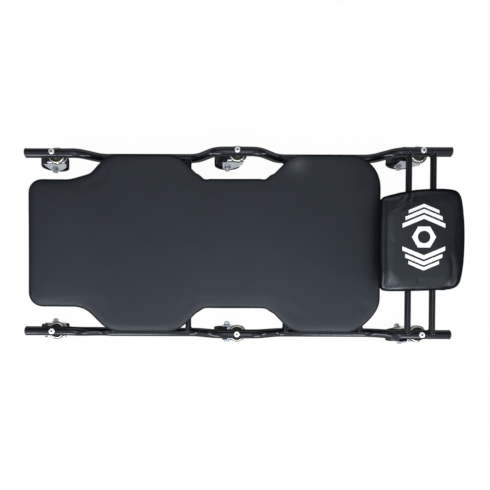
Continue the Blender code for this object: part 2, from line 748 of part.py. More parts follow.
def axle_bolt():
    """The axle about Z: a hexagon head above the fork and a shank through both legs."""
    seat = 0.5 * FORK_OUTSIDE + SEAT_GAP
    shank = cylinder(0.5 * AXLE_D, -seat - AXLE_NUT_T - AXLE_TIP, seat + 0.5 * AXLE_HEAD_T, PIN_STEPS)
    return shaped(shank, ("UNION", hexagon(seat, AXLE_HEAD_T)))


def axle_nut():
    """The nut on the axle's far end, about Z, its chamfer facing out."""
    seat = 0.5 * FORK_OUTSIDE + SEAT_GAP
    hole = cylinder(0.5 * AXLE_D + HOLE_GAP, 0.0, seat + 2.0 * AXLE_NUT_T, PIN_STEPS)
    nut = shaped(hexagon(seat, AXLE_NUT_T), ("DIFFERENCE", hole))
    return moved(nut, Matrix.Rotation(math.pi, 4, "X"))


# Scene

def finish(name, colour, roughness, metallic):
    """A Principled material."""
    material = bpy.data.materials.new(name)
    material.use_nodes = True
    shader = material.node_tree.nodes["Principled BSDF"]
    shader.inputs["Base Color"].default_value = (*colour, 1.0)
    shader.inputs["Roughness"].default_value = roughness
    shader.inputs["Metallic"].default_value = metallic
    return material


def add_part(collection, name, mesh, material, parent=None, location=(0.0, 0.0, 0.0)):
    """A named object with its own copy of the mesh, shaded smooth up to its sharp edges."""
    data = mesh.copy()
    data.name = name
    data.materials.clear()
    data.materials.append(material)
    data.shade_smooth()
    data.set_sharp_from_angle(angle=math.radians(SHARP_DEG))
    part = bpy.data.objects.new(name, data)
    collection.objects.link(part)
    part.parent = parent
    part.location = location
    return part


def add_empty(collection, name, parent=None, location=(0.0, 0.0, 0.0), turn=0.0):
    empty = bpy.data.objects.new(name, None)
    empty.empty_display_size = EMPTY_SIZE
    collection.objects.link(empty)
    empty.parent = parent
    empty.location = location
    empty.rotation_euler = (0.0, 0.0, turn)
    return empty


def build_frame(collection):
    paint = finish("gloss_black_paint", (0.012, 0.012, 0.013), 0.22, 0.0)
    plastic = finish("black_plug_plastic", (0.018, 0.018, 0.019), 0.5, 0.0)
    plug = rail_plug()
    ends = {
        "foot": (FOOT_CASTER_X - FOOT_RAIL_OVERHANG - SEAT_GAP, -0.5 * math.pi),
        "head": (HEAD_CASTER_X + HEAD_RAIL_OVERHANG + SEAT_GAP, 0.5 * math.pi),
    }
    for side in SIDES:
        add_part(collection, f"rail_{side}", rail(side), paint)
        for end, (x, turn) in ends.items():
            place = (x, across(side, rail_half_gauge(x)), ARCH_Z)
            part = add_part(collection, f"rail_plug_{end}_{side}", plug, plastic, location=place)
            part.rotation_euler = (0.0, turn, 0.0)
    for name, x in BED_TUBE_X.items():
        screw_y = BED_SCREW_Y if name in ("foot", "head") else None
        add_part(collection, f"bed_tube_{name}", cross_tube(x, BED_TUBE_Z, screw_y), paint)
    for name, x in HEAD_TUBE_X.items():
        add_part(collection, f"head_tube_{name}", cross_tube(x, HEAD_TUBE_Z, HEAD_SCREW_Y), paint)


def build_pads(collection):
    wood = finish("dark_board", (0.05, 0.038, 0.028), 0.8, 0.0)
    bed_vinyl = finish("bed_vinyl", (0.035, 0.040, 0.047), 0.55, 0.0)
    head_vinyl = finish("head_vinyl", (0.022, 0.024, 0.028), 0.35, 0.0)
    zinc = finish("screw_zinc", (0.55, 0.55, 0.53), 0.35, 1.0)
    screw = board_screw()
    seats = {
        "bed": (BED_TUBE_X["foot"], BED_TUBE_X["head"], BED_SCREW_Y, BED_TUBE_Z),
        "head": (HEAD_TUBE_X["neck"], HEAD_TUBE_X["crown"], HEAD_SCREW_Y, HEAD_TUBE_Z),
    }
    places = {}
    for pad, (footward, headward, y, tube_z) in seats.items():
        places[pad] = [(x, across(side, y)) for x in (footward, headward) for side in SIDES]
        for number, (screw_x, screw_y) in enumerate(places[pad], start=1):
            seat = (screw_x, screw_y, tube_z - CROSS_SEAT - SEAT_GAP)
            add_part(collection, f"{pad}_screw_{number}", screw, zinc, location=seat)
    bed_board = board(bed_outline(), BED_BOARD_INSET, BED_BOARD_Z, BED_BOARD_T, places["bed"])
    head_board = board(head_outline(), HEAD_BOARD_INSET, HEAD_BOARD_Z, HEAD_BOARD_T, places["head"])
    add_part(collection, "bed_board", bed_board, wood)
    add_part(collection, "bed_cushion", bed_pad(), bed_vinyl)
    add_part(collection, "head_board", head_board, wood)
    add_part(collection, "head_cushion", head_pad(), head_vinyl)


def build_casters(collection):
    zinc = finish("fork_zinc", (0.55, 0.57, 0.60), 0.32, 1.0)
    race = finish("race_zinc", (0.60, 0.57, 0.48), 0.30, 1.0)
    bright = finish("bolt_zinc", (0.75, 0.75, 0.73), 0.28, 1.0)
    rubber = finish("wheel_black", (0.015, 0.015, 0.016), 0.55, 0.0)
    meshes = {
        "fork": fork(),
        "swivel_cap": swivel_cap(),
        "caster_bolt": caster_bolt(),
        "wheel": wheel(),
        "axle_bolt": axle_bolt(),
        "axle_nut": axle_nut(),
    }
    sideways = (-0.5 * math.pi, 0.0, 0.0)
    for (station, side), trail in TRAIL_DEG.items():
        place = f"{station}_{side}"
        x = CASTER_X[station]
        y = across(side, rail_half_gauge(x))
        bolt_seat = (x, y, ARCH_Z + RAIL_SEAT + SEAT_GAP)
        add_part(collection, f"caster_bolt_{place}", meshes["caster_bolt"], bright, location=bolt_seat)
        add_part(collection, f"swivel_cap_{place}", meshes["swivel_cap"], race, location=(x, y, 0.0))
        swivel = add_empty(collection, f"swivel_{place}", None, (x, y, 0.0), math.radians(trail))
        axle_place = (CASTER_TRAIL, 0.0, AXLE_Z)
        axle = add_empty(collection, f"axle_{place}", swivel, axle_place)
        add_part(collection, f"fork_{place}", meshes["fork"], zinc, swivel)
        add_part(collection, f"wheel_{place}", meshes["wheel"], rubber, axle)
        for piece in ("axle_bolt", "axle_nut"):
            part = add_part(collection, f"{piece}_{place}", meshes[piece], bright, axle)
            part.rotation_euler = sideways


def main():
    for thing in list(bpy.data.objects):
        bpy.data.objects.remove(thing)
    collection = bpy.data.collections.new("mechanic_creeper")
    bpy.context.scene.collection.children.link(collection)
    build_frame(collection)
    build_pads(collection)
    build_casters(collection)


main()
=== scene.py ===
"""Looks of a mechanic creeper: smooth frame, stuffed pads, plated casters, studio light and camera.

Units are metres. +X points to the head end, +Y to the left of someone who looks that way, +Z up.
"""
import json
import math

import bmesh
import bpy
from mathutils import Matrix, Vector
from mathutils.bvhtree import BVHTree


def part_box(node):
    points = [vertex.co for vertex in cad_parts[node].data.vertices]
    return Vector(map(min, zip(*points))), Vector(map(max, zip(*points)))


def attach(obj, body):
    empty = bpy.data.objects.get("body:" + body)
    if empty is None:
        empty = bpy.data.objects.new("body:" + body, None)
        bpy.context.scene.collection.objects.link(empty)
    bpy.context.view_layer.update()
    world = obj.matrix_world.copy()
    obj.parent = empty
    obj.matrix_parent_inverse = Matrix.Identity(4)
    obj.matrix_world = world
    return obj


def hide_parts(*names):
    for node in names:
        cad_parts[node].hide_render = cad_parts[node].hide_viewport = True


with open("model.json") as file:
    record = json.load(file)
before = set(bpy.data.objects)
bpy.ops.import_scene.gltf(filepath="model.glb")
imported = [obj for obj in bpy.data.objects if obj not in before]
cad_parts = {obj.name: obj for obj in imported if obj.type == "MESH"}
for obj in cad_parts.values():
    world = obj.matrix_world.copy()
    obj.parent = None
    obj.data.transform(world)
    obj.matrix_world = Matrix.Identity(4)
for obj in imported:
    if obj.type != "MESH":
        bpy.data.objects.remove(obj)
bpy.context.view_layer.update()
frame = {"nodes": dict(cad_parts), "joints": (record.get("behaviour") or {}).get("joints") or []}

STATIONS = ("foot", "mid", "head")
SIDES = ("left", "right")
PLACES = [f"{station}_{side}" for station in STATIONS for side in SIDES]
JOINTS = {joint["name"]: joint for joint in frame["joints"]}
KING_PIN = {place: Vector(JOINTS[f"swivel_{place}"]["pos_m"]) for place in PLACES}
AXLE = {place: Vector(JOINTS[f"roll_{place}"]["pos_m"]) for place in PLACES}
FOOT_X, MID_X, HEAD_X = (KING_PIN[f"{station}_left"].x for station in STATIONS)
CROWN_Z = KING_PIN["mid_left"].z
AXLE_Z = AXLE["mid_left"].z

# Frame sizes
RAIL_R = 0.0105
RAIL_BEND_R = 0.045
RAIL_BEND_DEG = 46.0
RAIL_DROP = 0.049
END_ARCH_REACH = 0.0763
MID_ARCH_REACH = 0.0732
BEND_STEPS = 14
TUBE_R = 0.007
TUBE_SINK = 0.001           # how far a cross tube stops short of the rail's centre line
WELD_R = 0.0017
WELD_STEPS = 72
WELD_RIPPLES = 15
WELD_RIPPLE = 0.16          # share of the bead's radius
WELD_UNEVEN = 0.10
WELD_SHIFT = 90.0           # radians per metre along x, so that no two beads are alike
PLUG_HEAD = 0.0035
PLUG_LIP = 0.0004
PLUG_EDGE = 0.0012
PLUG_CHAMFER = 0.0004
PLUG_ROUNDNESS = 0.8
BOLT_HEAD_R = 0.00625
BOLT_HEAD_T = 0.0036
BOLT_FLAT_R = 0.0048
BOLT_RIM_Z = 0.0022
BOLT_SOCKET_R = 0.0024
BOLT_SOCKET_DEPTH = 0.0022
BOLT_SOCKET_TIP = 0.0005
BOLT_TOOL_TOP = 0.01        # the tool that cuts the socket ends well above the head
BOLT_SHANK_R = 0.004
BOLT_SHANK = 0.012
BOLT_SINK = 0.0006
BOLT_TURN = 40.0            # radians per metre along x, so that no two sockets stand alike

# Caster sizes
WHEEL_R = AXLE_Z
WHEEL_HALF_W = 0.013
WHEEL_HUB_HALF_W = 0.0142
WHEEL_HUB_R = 0.0095
WHEEL_RIM_R = 0.0255
WHEEL_WEB_HALF_W = 0.0085
WHEEL_RIBS = 6
WHEEL_RIB_HALF_W = 0.0016
WHEEL_RIB_RISE = 0.0024
WHEEL_RIB_FLANK = 0.0012
WHEEL_HUB_ROUND = 0.0008
WHEEL_HUB_DRAFT = 0.0006
WHEEL_FILLET = 0.0012       # between the web and the hub or rim
WHEEL_RIM_CHAMFER = 0.0006
WHEEL_SHOULDER = 0.0030
WHEEL_TREAD = ((-0.00003, 0.006), (0.0, 0.0008), (-0.00025, 0.0))   # (radius past WHEEL_R, height)
FORK_TRAIL = (AXLE["mid_left"] - KING_PIN["mid_left"]).to_2d().length
FORK_PLATE = 0.0025
FORK_HALF_W = 0.0170
FORK_BEND_R = 0.005
FORK_CROWN_R = 0.022
FORK_FRONT_LIP = 0.008
FORK_FRONT_X = -0.016
FORK_KNEE_X = -0.0116       # the legs' front edge bends round this point to the axle boss
FORK_KNEE_RISE = 0.0109
FORK_BACK_X = 0.023
FORK_LEG_BACK_X = 0.035
FORK_LEG_TOP_DROP = 0.0056
FORK_LEG_BACK_DROP = 0.008
FORK_BOSS_R = 0.0108
FORK_EDGE = 0.0005
FORK_EDGE_DEG = 50.0        # only corners sharper than this are rounded over
FORK_COLUMNS = 14
AXLE_R = 0.004
AXLE_HEX_R = 0.0066
AXLE_HEX_T = 0.0070
AXLE_TIP = 0.0015
HEX_MARGIN = 0.001          # how far a cutting tool reaches past a hexagon
THREAD_DEPTH = 0.0006
THREAD_PITCH = 0.00125
THREAD_TURNS = 6
WASHER_R = 0.0089
WASHER_T = 0.0012
WASHER_EDGE = 0.0003
PLAY = 0.0003               # gap between parts that turn or seat on each other
RACE_R = 0.0175
RACE_H = 0.0079
LOWER_RACE_R = 0.0198
RACE_RECESS_R = 0.0151
RACE_ROLL = 0.0012          # rounding of the rolled rims
LOWER_RACE_GAP = 0.0006
LOWER_RACE_SINK = 0.0006
LOWER_RACE_RISE = 0.0018
LOWER_RACE_LIP = 0.0009
CAP_FLOOR = 0.0032          # heights over the cap's base
CAP_RIM = 0.0064
CAP_BOSS_R = 0.0085
CAP_BOSS_FILLET = 0.0008
CAP_BOSS = ((0.0, 0.0), (0.0078, 0.0), (CAP_BOSS_R, -0.0007))       # (radius, height from the top)
CAP_RING = ((0.0118, 0.0), (0.0124, 0.0005), (0.0130, 0.0))         # (radius, height from the floor)
CAP_CORNER_R = 0.0138       # where the rounding between the floor and the rim has its centre
CAP_CORNER = 0.0010
CAP_GROOVE = ((0.0, 0.0026), (-0.0006, 0.0021), (-0.0006, 0.0014), (0.0, 0.0009))   # (depth, height)
KING_PIN_R = 0.0060
KING_PIN_RIVET = ((0.0090, 0.0), (0.0086, -0.0014), (0.0074, -0.0025), (0.0, -0.0028))

# Pad sizes
BED_WAIST_Y = 0.1505
BED_FOOT_Y = 0.1485
BED_FOOT_FLANK = 0.0640
BED_MID_FLANK_FOOTWARD = 0.0825
BED_MID_FLANK_HEADWARD = 0.0725
BED_CORNERS = {"foot": 0.032, "foot_hollow": 0.060, "waist": 0.035, "shoulder": 0.065, "head": 0.078}
HEAD_LINE = (               # the headrest's outline as seen from above
    (0.3112, 0.0000), (0.3113, -0.0600), (0.3118, -0.0950), (0.3150, -0.1062), (0.3240, -0.1103),
    (0.3500, -0.1108), (0.3960, -0.1096), (0.4500, -0.1075), (0.4720, -0.1050), (0.4840, -0.0975),
    (0.4900, -0.0830), (0.4945, -0.0450), (0.4962, 0.0000), (0.4953, 0.0400), (0.4908, 0.0800),
    (0.4865, 0.0985), (0.4790, 0.1098), (0.4650, 0.1145), (0.4400, 0.1158), (0.3950, 0.1140),
    (0.3570, 0.1078), (0.3260, 0.1005), (0.3160, 0.0968), (0.3120, 0.0885), (0.3113, 0.0500),
)
HEAD_LINE_STEPS = 9
HEAD_CENTRE = (0.404, 0.003)
HEAD_NECK_Y = 0.103
HEAD_END_Y = 0.1125
HEAD_NECK_REACH = 0.1028
HEAD_END_REACH = 0.0652
HEAD_BULGE = 0.018
HEAD_CORNERS = {"neck": 0.022, "end": 0.026, "bulge": 0.400}
CORNER_STEPS = 24
BED_SPACING = 0.008         # between the points of an outline
HEAD_SPACING = 0.005
BED_SHAPE = {"gap": 0.001, "belly": 0.0145, "draw": 0.007, "rounding": 0.026, "crown": 0.003, "square": 2.6}
HEAD_SHAPE = {"gap": 0.0025, "belly": 0.013, "draw": 0.002, "rounding": 0.023, "crown": 0.003, "square": 2.15}
HEAD_END_SLOPE = 0.5        # how much wider the headrest's rounding is at its outer end
PAD_RINGS = 18
PAD_UNDER_STEPS = 5
PAD_SIDE_STEPS = 8
PAD_WELD = 0.0004           # points of a pad that lie closer than this become one

SMOOTH_DEG = 32.0           # edges flatter than this are shaded smooth
ROUND_STEPS = 48

# Cover, staples, screws and print
BED_BOARD_INSET = 0.009
HEAD_BOARD_INSET = 0.005
BED_PRESSURE = 0.6
BED_SWELL = 0.0008
HEAD_PRESSURE = 0.9
HEAD_SWELL = 0.0006
HEAD_VOXEL = 0.0035
HEAD_SMOOTHING = 8
CLOTH = {
    "quality": 6, "mass": 0.35, "tension_stiffness": 22.0, "compression_stiffness": 22.0,
    "shear_stiffness": 8.0, "bending_stiffness": 2.0, "use_pressure": True, "vertex_group_mass": "held",
}
CLOTH_FRAMES = 20
HELD_BAND = 0.0015          # height of the band along a pad's underside that its board holds
FOLD_FLOOR = 0.006
FOLD_BOW = 0.06
HEAD_FOLDS = (
    (0.350, 0.094, 60.0, 0.024, 0.007, 0.0013),
    (0.362, 0.092, 63.0, 0.030, 0.007, 0.0016),
    (0.374, 0.086, 57.0, 0.022, 0.006, 0.0012),
    (0.344, 0.072, 42.0, 0.028, 0.008, 0.0012),
    (0.361, 0.066, 50.0, 0.022, 0.007, 0.0010),
    (0.462, -0.066, 91.0, 0.060, 0.010, -0.0015),
    (0.390, -0.089, 80.0, 0.011, 0.009, -0.0009),
)
HEAD_SAGS = (
    (0.315, -0.107, 0.042, 0.0085),
    (0.318, 0.094, 0.045, 0.0040),
    (0.490, -0.095, 0.050, 0.0050),
)
BED_PAINTED_HIGHLIGHT = ((0.1335, 0.180, 0.100), 0.042, 0.75)    # a painted highlight on the bed, a pale patch that stands in for a lamp's sheen: place, radius, share
BED_TUCKS = (
    (0.318, -0.196, -0.0050, 0.0050, 0.075),
    (-0.370, 0.1525, 0.0000, 0.0040, 0.030),
    (-0.344, 0.1700, 0.0010, -0.0010, 0.022),
    (-0.0930, 0.1550, -0.0014, 0.0036, 0.0120),
    (-0.0790, 0.1520, 0.0000, -0.0018, 0.0120),
    (0.0722, 0.1560, 0.0014, 0.0036, 0.0120),
    (0.0590, 0.1520, 0.0000, -0.0018, 0.0120),
    (-0.0930, -0.1555, -0.0008, -0.0016, 0.0100),
    (0.0735, -0.1560, 0.0008, -0.0020, 0.0100),
)
WRAP_T = 0.0010
WRAP_HEM = 0.018
WRAP_BULGE = 0.0006
STAPLE_CROWN = 0.010
STAPLE_R = 0.00035
STAPLE_SINK = 0.0012
STAPLE_INSET = 0.009
STAPLE_PITCH = 0.038
SCREW_R = 0.0025
SCREW_HEAD_R = 0.005
SCREW_HEAD_T = 0.003
SCREW_LENGTH = 0.0244
SCREW_TURN = 37.0           # radians per metre along x
PRINT_X = 0.398
PRINT_Y = 0.006
PRINT_NUT_R = 0.026
PRINT_NUT_HOLE_R = 0.0135
PRINT_CHEVRONS = ((0.020, 0.046, 0.009), (0.036, 0.040, 0.008), (0.051, 0.033, 0.007))
PRINT_CHEVRON_RISE = 0.42
PRINT_GRID = 0.004
PRINT_REACH = 0.1
PRINT_RISE = 0.0003
PRINT_T = 0.0002


# Mesh helpers

def linked(name, data):
    thing = bpy.data.objects.new(name, data)
    bpy.context.scene.collection.objects.link(thing)
    return thing


def baked(thing):
    """The finished mesh of a working object, which is then removed."""
    depsgraph = bpy.context.evaluated_depsgraph_get()
    mesh = bpy.data.meshes.new_from_object(thing.evaluated_get(depsgraph))
    bpy.data.objects.remove(thing)
    return mesh


def cleaned(mesh, distance=1e-6):
    """Welds a mesh's own points and turns its faces outwards."""
    cage = bmesh.new()
    cage.from_mesh(mesh)
    bmesh.ops.remove_doubles(cage, verts=cage.verts, dist=distance)
    bmesh.ops.dissolve_degenerate(cage, edges=cage.edges, dist=distance)
    bmesh.ops.recalc_face_normals(cage, faces=cage.faces)
    cage.to_mesh(mesh)
    cage.free()
    return mesh


def grid_mesh(rows, closed=False):
    """A surface through rows of matching points; closed joins the last column to the first."""
    count = len(rows[0])
    points = [point for row in rows for point in row]
    faces = []
    for j in range(len(rows) - 1):
        for i in range(count if closed else count - 1):
            k = (i + 1) % count
            faces.append((j * count + i, j * count + k, (j + 1) * count + k, (j + 1) * count + i))
    mesh = bpy.data.meshes.new("surface")
    mesh.from_pydata(points, [], faces)
    return cleaned(mesh)


def turned(profile, steps=ROUND_STEPS, ripple=None):
    """A profile of (radius, height) points turned about Z; ripple may lift a point at an angle."""
    rows = []
    for radius, height in profile:
        row = []
        for step in range(steps):
            angle = 2.0 * math.pi * step / steps
            lift = ripple(angle, radius, height) if ripple else 0.0
            row.append((radius * math.cos(angle), radius * math.sin(angle), height + lift))
        rows.append(row)
    return grid_mesh(rows, closed=True)


def arc(centre, radius, start_deg, end_deg, steps):
    """Points of an arc in a profile plane."""
    points = []
    for step in range(steps + 1):
        angle = math.radians(start_deg + (end_deg - start_deg) * step / steps)
        points.append((centre[0] + radius * math.cos(angle), centre[1] + radius * math.sin(angle)))
    return points


def swept(route, radius, cyclic=False, swell=None, resolution=14):
    """A round bar along a route; swell gives the radius's share at each point."""
    data = bpy.data.curves.new("route", "CURVE")
    data.dimensions = "3D"
    data.bevel_depth = radius
    data.bevel_resolution = resolution
    data.use_fill_caps = not cyclic
    spline = data.splines.new("POLY")
    spline.points.add(len(route) - 1)
    for i, place in enumerate(route):
        spline.points[i].co = (*place, 1.0)
        spline.points[i].radius = swell(i) if swell else 1.0
    spline.use_cyclic_u = cyclic
    return cleaned(baked(linked("working", data)))


def modified(mesh, kind, **settings):
    """The same mesh with a modifier applied."""
    thing = linked("working", mesh)
    change = thing.modifiers.new(kind.lower(), kind)
    for name, value in settings.items():
        setattr(change, name, value)
    return baked(thing)


def shaped(mesh, tool_mesh, operation="DIFFERENCE"):
    tool = linked("tool", tool_mesh)
    result = modified(mesh, "BOOLEAN", operation=operation, object=tool)
    bpy.data.objects.remove(tool)
    return cleaned(result)


def recessed(mesh, reach, inside):
    """Gives the faces of a tool recess the mesh's second material; inside tells by their height."""
    mesh.materials.clear()
    mesh.materials.append(None)
    mesh.materials.append(None)
    for face in mesh.polygons:
        x, y, z = face.center
        face.material_index = int(math.hypot(x, y) < reach and inside(z))
    return mesh


def piece(name, mesh, body, slot, material, nodes=(), matrix=None, second=None):
    """A dressed piece on a body, in place of the CAD nodes that it stands for."""
    data = mesh.copy()
    data.name = name
    if not data.materials:
        data.materials.append(None)
    data.materials[0] = material
    if second:
        data.materials[1] = second
    data.shade_smooth()
    data.set_sharp_from_angle(angle=math.radians(SMOOTH_DEG))
    thing = linked(name, data)
    if matrix is not None:
        thing.matrix_world = matrix
    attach(thing, body)
    if nodes:
        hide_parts(*nodes)
    return thing


# Materials

LEVEL_GLOSS = 0.40              # share of the gloss that a lying piece keeps when seen from the side
LEVEL_GROUND = (0.955, 0.996)   # upward part of the normal where a lying piece begins to count as flat


class Tree:
    """Short calls for the nodes of a material or of the world."""

    def __init__(self, owner):
        owner.use_nodes = True
        self.nodes = owner.node_tree.nodes
        self.links = owner.node_tree.links

    def feed(self, socket, value):
        """Links an output to a socket, or sets the socket's own value."""
        if isinstance(value, bpy.types.NodeSocket):
            self.links.new(value, socket)
        else:
            socket.default_value = value

    def add(self, kind, inputs=None, **settings):
        """A new node's outputs; inputs go by name or number."""
        node = self.nodes.new(f"ShaderNode{kind}")
        for name, value in settings.items():
            setattr(node, name, value)
        for key, value in (inputs or {}).items():
            self.feed(node.inputs[key], value)
        return node.outputs

    def spread(self, value, low, high, out_low=0.0, out_high=1.0, **settings):
        """Maps a range of a value to another range, clamped."""
        limits = {"From Min": low, "From Max": high, "To Min": out_low, "To Max": out_high}
        return self.add("MapRange", {"Value": value, **limits}, **settings)["Result"]

    def math(self, operation, first, second):
        return self.add("Math", {0: first, 1: second}, operation=operation)["Value"]

    def mixed(self, share, first, second):
        """A colour between two colours, each given as numbers or as an output."""
        ends = [(*value, 1.0) if isinstance(value, tuple) else value for value in (first, second)]
        return self.add("Mix", {0: share, 6: ends[0], 7: ends[1]}, data_type="RGBA")[2]

    def seen(self, share):
        """A share for what the camera, mirrors and glass see, nought for light that bounces."""
        path = self.add("LightPath")
        total = path["Is Camera Ray"]
        for name in ("Is Glossy Ray", "Is Transmission Ray"):
            total = self.math("MAXIMUM", total, path[name])
        return self.math("MULTIPLY", total, share)


class Finish(Tree):
    """A Principled material with short calls for its procedural nodes."""

    def __init__(self, name, colour, roughness, metallic=0.0):
        self.material = bpy.data.materials.new(name)
        super().__init__(self.material)
        self.shader = self.nodes["Principled BSDF"]
        self.set("Base Color", (*colour, 1.0))
        self.set("Roughness", roughness)
        self.set("Metallic", metallic)
        self.place = self.add("TexCoord")["Object"]

    def set(self, socket, value):
        """Feeds one of the shader's own sockets."""
        self.feed(self.shader.inputs[socket], value)

    def noise(self, scale, detail=4.0, roughness=0.55, distortion=0.0, place=None):
        inputs = {"Scale": scale, "Detail": detail, "Roughness": roughness, "Distortion": distortion}
        return self.add("TexNoise", {"Vector": place or self.place, **inputs})["Fac"]

    def stretched(self, scale):
        return self.add("Mapping", {"Vector": self.place, "Scale": scale})["Vector"]

    def rough(self, value, smooth, rough, low=0.3, high=0.7):
        self.set("Roughness", self.spread(value, low, high, smooth, rough))

    def bump(self, height, distance, strength, under=None):
        inputs = {"Height": height, "Distance": distance, "Strength": strength}
        if under:
            inputs["Normal"] = under
        return self.add("Bump", inputs)["Normal"]

    def dented(self, height, distance, strength, under=None):
        self.set("Normal", self.bump(height, distance, strength, under))

    def patch(self, centre, radius, most):
        """A soft round patch on the surface: most in its middle, nought outside."""
        far = self.add("VectorMath", {0: self.place, 1: centre}, operation="DISTANCE")["Value"]
        near = self.spread(far, 0.0, radius, 1.0, 0.0)
        return self.math("MULTIPLY", self.math("MULTIPLY", near, near), most)

    def edge_gloss(self, level, start, end, lying=False):
        """Gloss that fades where the surface turns away; a lying piece keeps some on its flat top."""
        gloss = self.spread(self.add("LayerWeight")["Facing"], start, end, level, 0.0)
        if lying:
            upward = self.add("SeparateXYZ", {"Vector": self.add("NewGeometry")["Normal"]})["Z"]
            gloss = self.math("MAXIMUM", gloss, self.spread(upward, *LEVEL_GROUND, 0.0, LEVEL_GLOSS * level))
        self.set("Specular IOR Level", gloss)

    def worn_edges(self, low=0.52, high=0.60):
        """One along the sharp edges that hands and tools wear, nought elsewhere."""
        return self.spread(self.add("NewGeometry")["Pointiness"], low, high)


def gloss_paint():
    finish = Finish("gloss_black_paint", (0.005, 0.0055, 0.0075), 0.20)
    tint = finish.mixed(finish.noise(9.0), (0.0035, 0.0042, 0.0062), (0.0065, 0.0075, 0.0105))
    along = finish.stretched((30.0, 260.0, 260.0))
    scuff = finish.spread(finish.noise(2.2, 6.0, 0.65, place=along), 0.70, 0.80)
    finish.set("Base Color", finish.mixed(scuff, tint, (0.020, 0.021, 0.024)))
    finish.rough(finish.noise(22.0, 5.0), 0.15, 0.22, 0.30, 0.75)
    finish.dented(finish.noise(110.0, 2.0), 0.00005, 0.07)
    finish.set("Specular Tint", (0.84, 0.91, 1.0, 1.0))
    finish.edge_gloss(0.35, 0.34, 0.66)
    return finish.material


def mottled(name, colour, roughness, tone, gloss, dents, level=None):
    """A plain finish: two tones, uneven gloss and small dents, each from its own noise.

    tone is (scale, dark, light), gloss is (scale, smooth, rough), dents is (scale, detail, depth, strength).
    """
    finish = Finish(name, colour, roughness)
    finish.set("Base Color", finish.mixed(finish.noise(tone[0]), *tone[1:]))
    finish.rough(finish.noise(gloss[0]), *gloss[1:])
    finish.dented(finish.noise(*dents[:2]), *dents[2:])
    if level is not None:
        finish.set("Specular IOR Level", level)
    return finish.material


def vinyl(name, dark, light, roughness, grain, gloss, fade, painted_highlight=None):
    """Coated fabric: two close tones, a fine pressed grain, soft large unevenness, a little dust and, where
    one is given, a pale patch of painted highlight.
    """
    finish = Finish(name, dark, roughness[1])
    tone = finish.mixed(finish.spread(finish.noise(5.0, 3.0), 0.3, 0.7), dark, light)
    dust = finish.spread(finish.noise(38.0, 8.0, 0.72), 0.58, 0.80, 0.0, 0.16)
    tone = finish.mixed(dust, tone, (0.036, 0.039, 0.044))
    if painted_highlight:
        # painted highlight: a pale patch in the base colour where a lamp's sheen falls on the pad
        tone = finish.mixed(finish.patch(*painted_highlight), tone, (0.075, 0.081, 0.086))
    finish.set("Base Color", tone)
    finish.rough(finish.noise(14.0, 6.0, 0.6), *roughness, 0.28, 0.72)
    pores = finish.add("TexVoronoi", {"Vector": finish.place, "Scale": 620.0}, feature="DISTANCE_TO_EDGE")
    pressed = finish.spread(pores["Distance"], 0.0, 0.22)
    slack = finish.noise(16.0, 2.0, 0.4)
    finish.dented(slack, 0.0016, 0.30, finish.bump(pressed, 0.00022, grain))
    finish.set("Specular Tint", (0.81, 0.90, 1.0, 1.0))
    finish.edge_gloss(gloss, *fade, lying=True)
    return finish.material


def board_wood():
    finish = Finish("dark_board", (0.05, 0.038, 0.028), 0.8)
    grain = finish.noise(3.0, 8.0, 0.65, 0.6, finish.stretched((6.0, 90.0, 90.0)))
    finish.set("Base Color", finish.mixed(grain, (0.030, 0.022, 0.016), (0.085, 0.062, 0.043)))
    finish.rough(grain, 0.72, 0.9)
    finish.dented(grain, 0.0005, 0.4)
    return finish.material


def plated(name, dull, bright, smooth, rough):
    """Zinc plate: crystalline tone, smeared gloss and rubbed edges."""
    finish = Finish(name, bright, rough, 1.0)
    tone = finish.mixed(finish.spread(finish.noise(70.0, 6.0, 0.62), 0.32, 0.68), dull, bright)
    rubbed = tuple(min(1.0, 1.12 * value) for value in bright)
    finish.set("Base Color", finish.mixed(finish.worn_edges(), tone, rubbed))
    finish.rough(finish.noise(34.0, 5.0), smooth, rough)
    finish.dented(finish.noise(420.0, 4.0), 0.0001, 0.15)
    return finish.material


def wheel_plastic():
    finish = Finish("wheel_black", (0.014, 0.014, 0.015), 0.5)
    tone = finish.mixed(finish.noise(55.0), (0.006, 0.0065, 0.008), (0.013, 0.014, 0.017))
    grit = finish.spread(finish.noise(240.0, 8.0, 0.7), 0.58, 0.78, 0.0, 0.22)
    finish.set("Base Color", finish.mixed(grit, tone, (0.055, 0.055, 0.056)))
    finish.rough(finish.noise(90.0), 0.26, 0.44)
    finish.dented(finish.noise(900.0, 3.0), 0.0002, 0.22)
    finish.set("Specular Tint", (0.80, 0.90, 1.0, 1.0))
    finish.edge_gloss(0.36, 0.20, 0.60)
    return finish.material


def print_ink():
    finish = Finish("white_print", (0.80, 0.80, 0.80), 0.42)
    wear = finish.spread(finish.noise(260.0, 8.0, 0.7), 0.63, 0.70)
    tone = finish.mixed(finish.noise(30.0), (0.84, 0.84, 0.84), (0.94, 0.94, 0.94))
    finish.set("Base Color", finish.mixed(wear, tone, (0.10, 0.10, 0.11)))
    finish.rough(finish.noise(80.0), 0.36, 0.52)
    finish.dented(finish.noise(600.0), 0.0001, 0.3)
    return finish.material


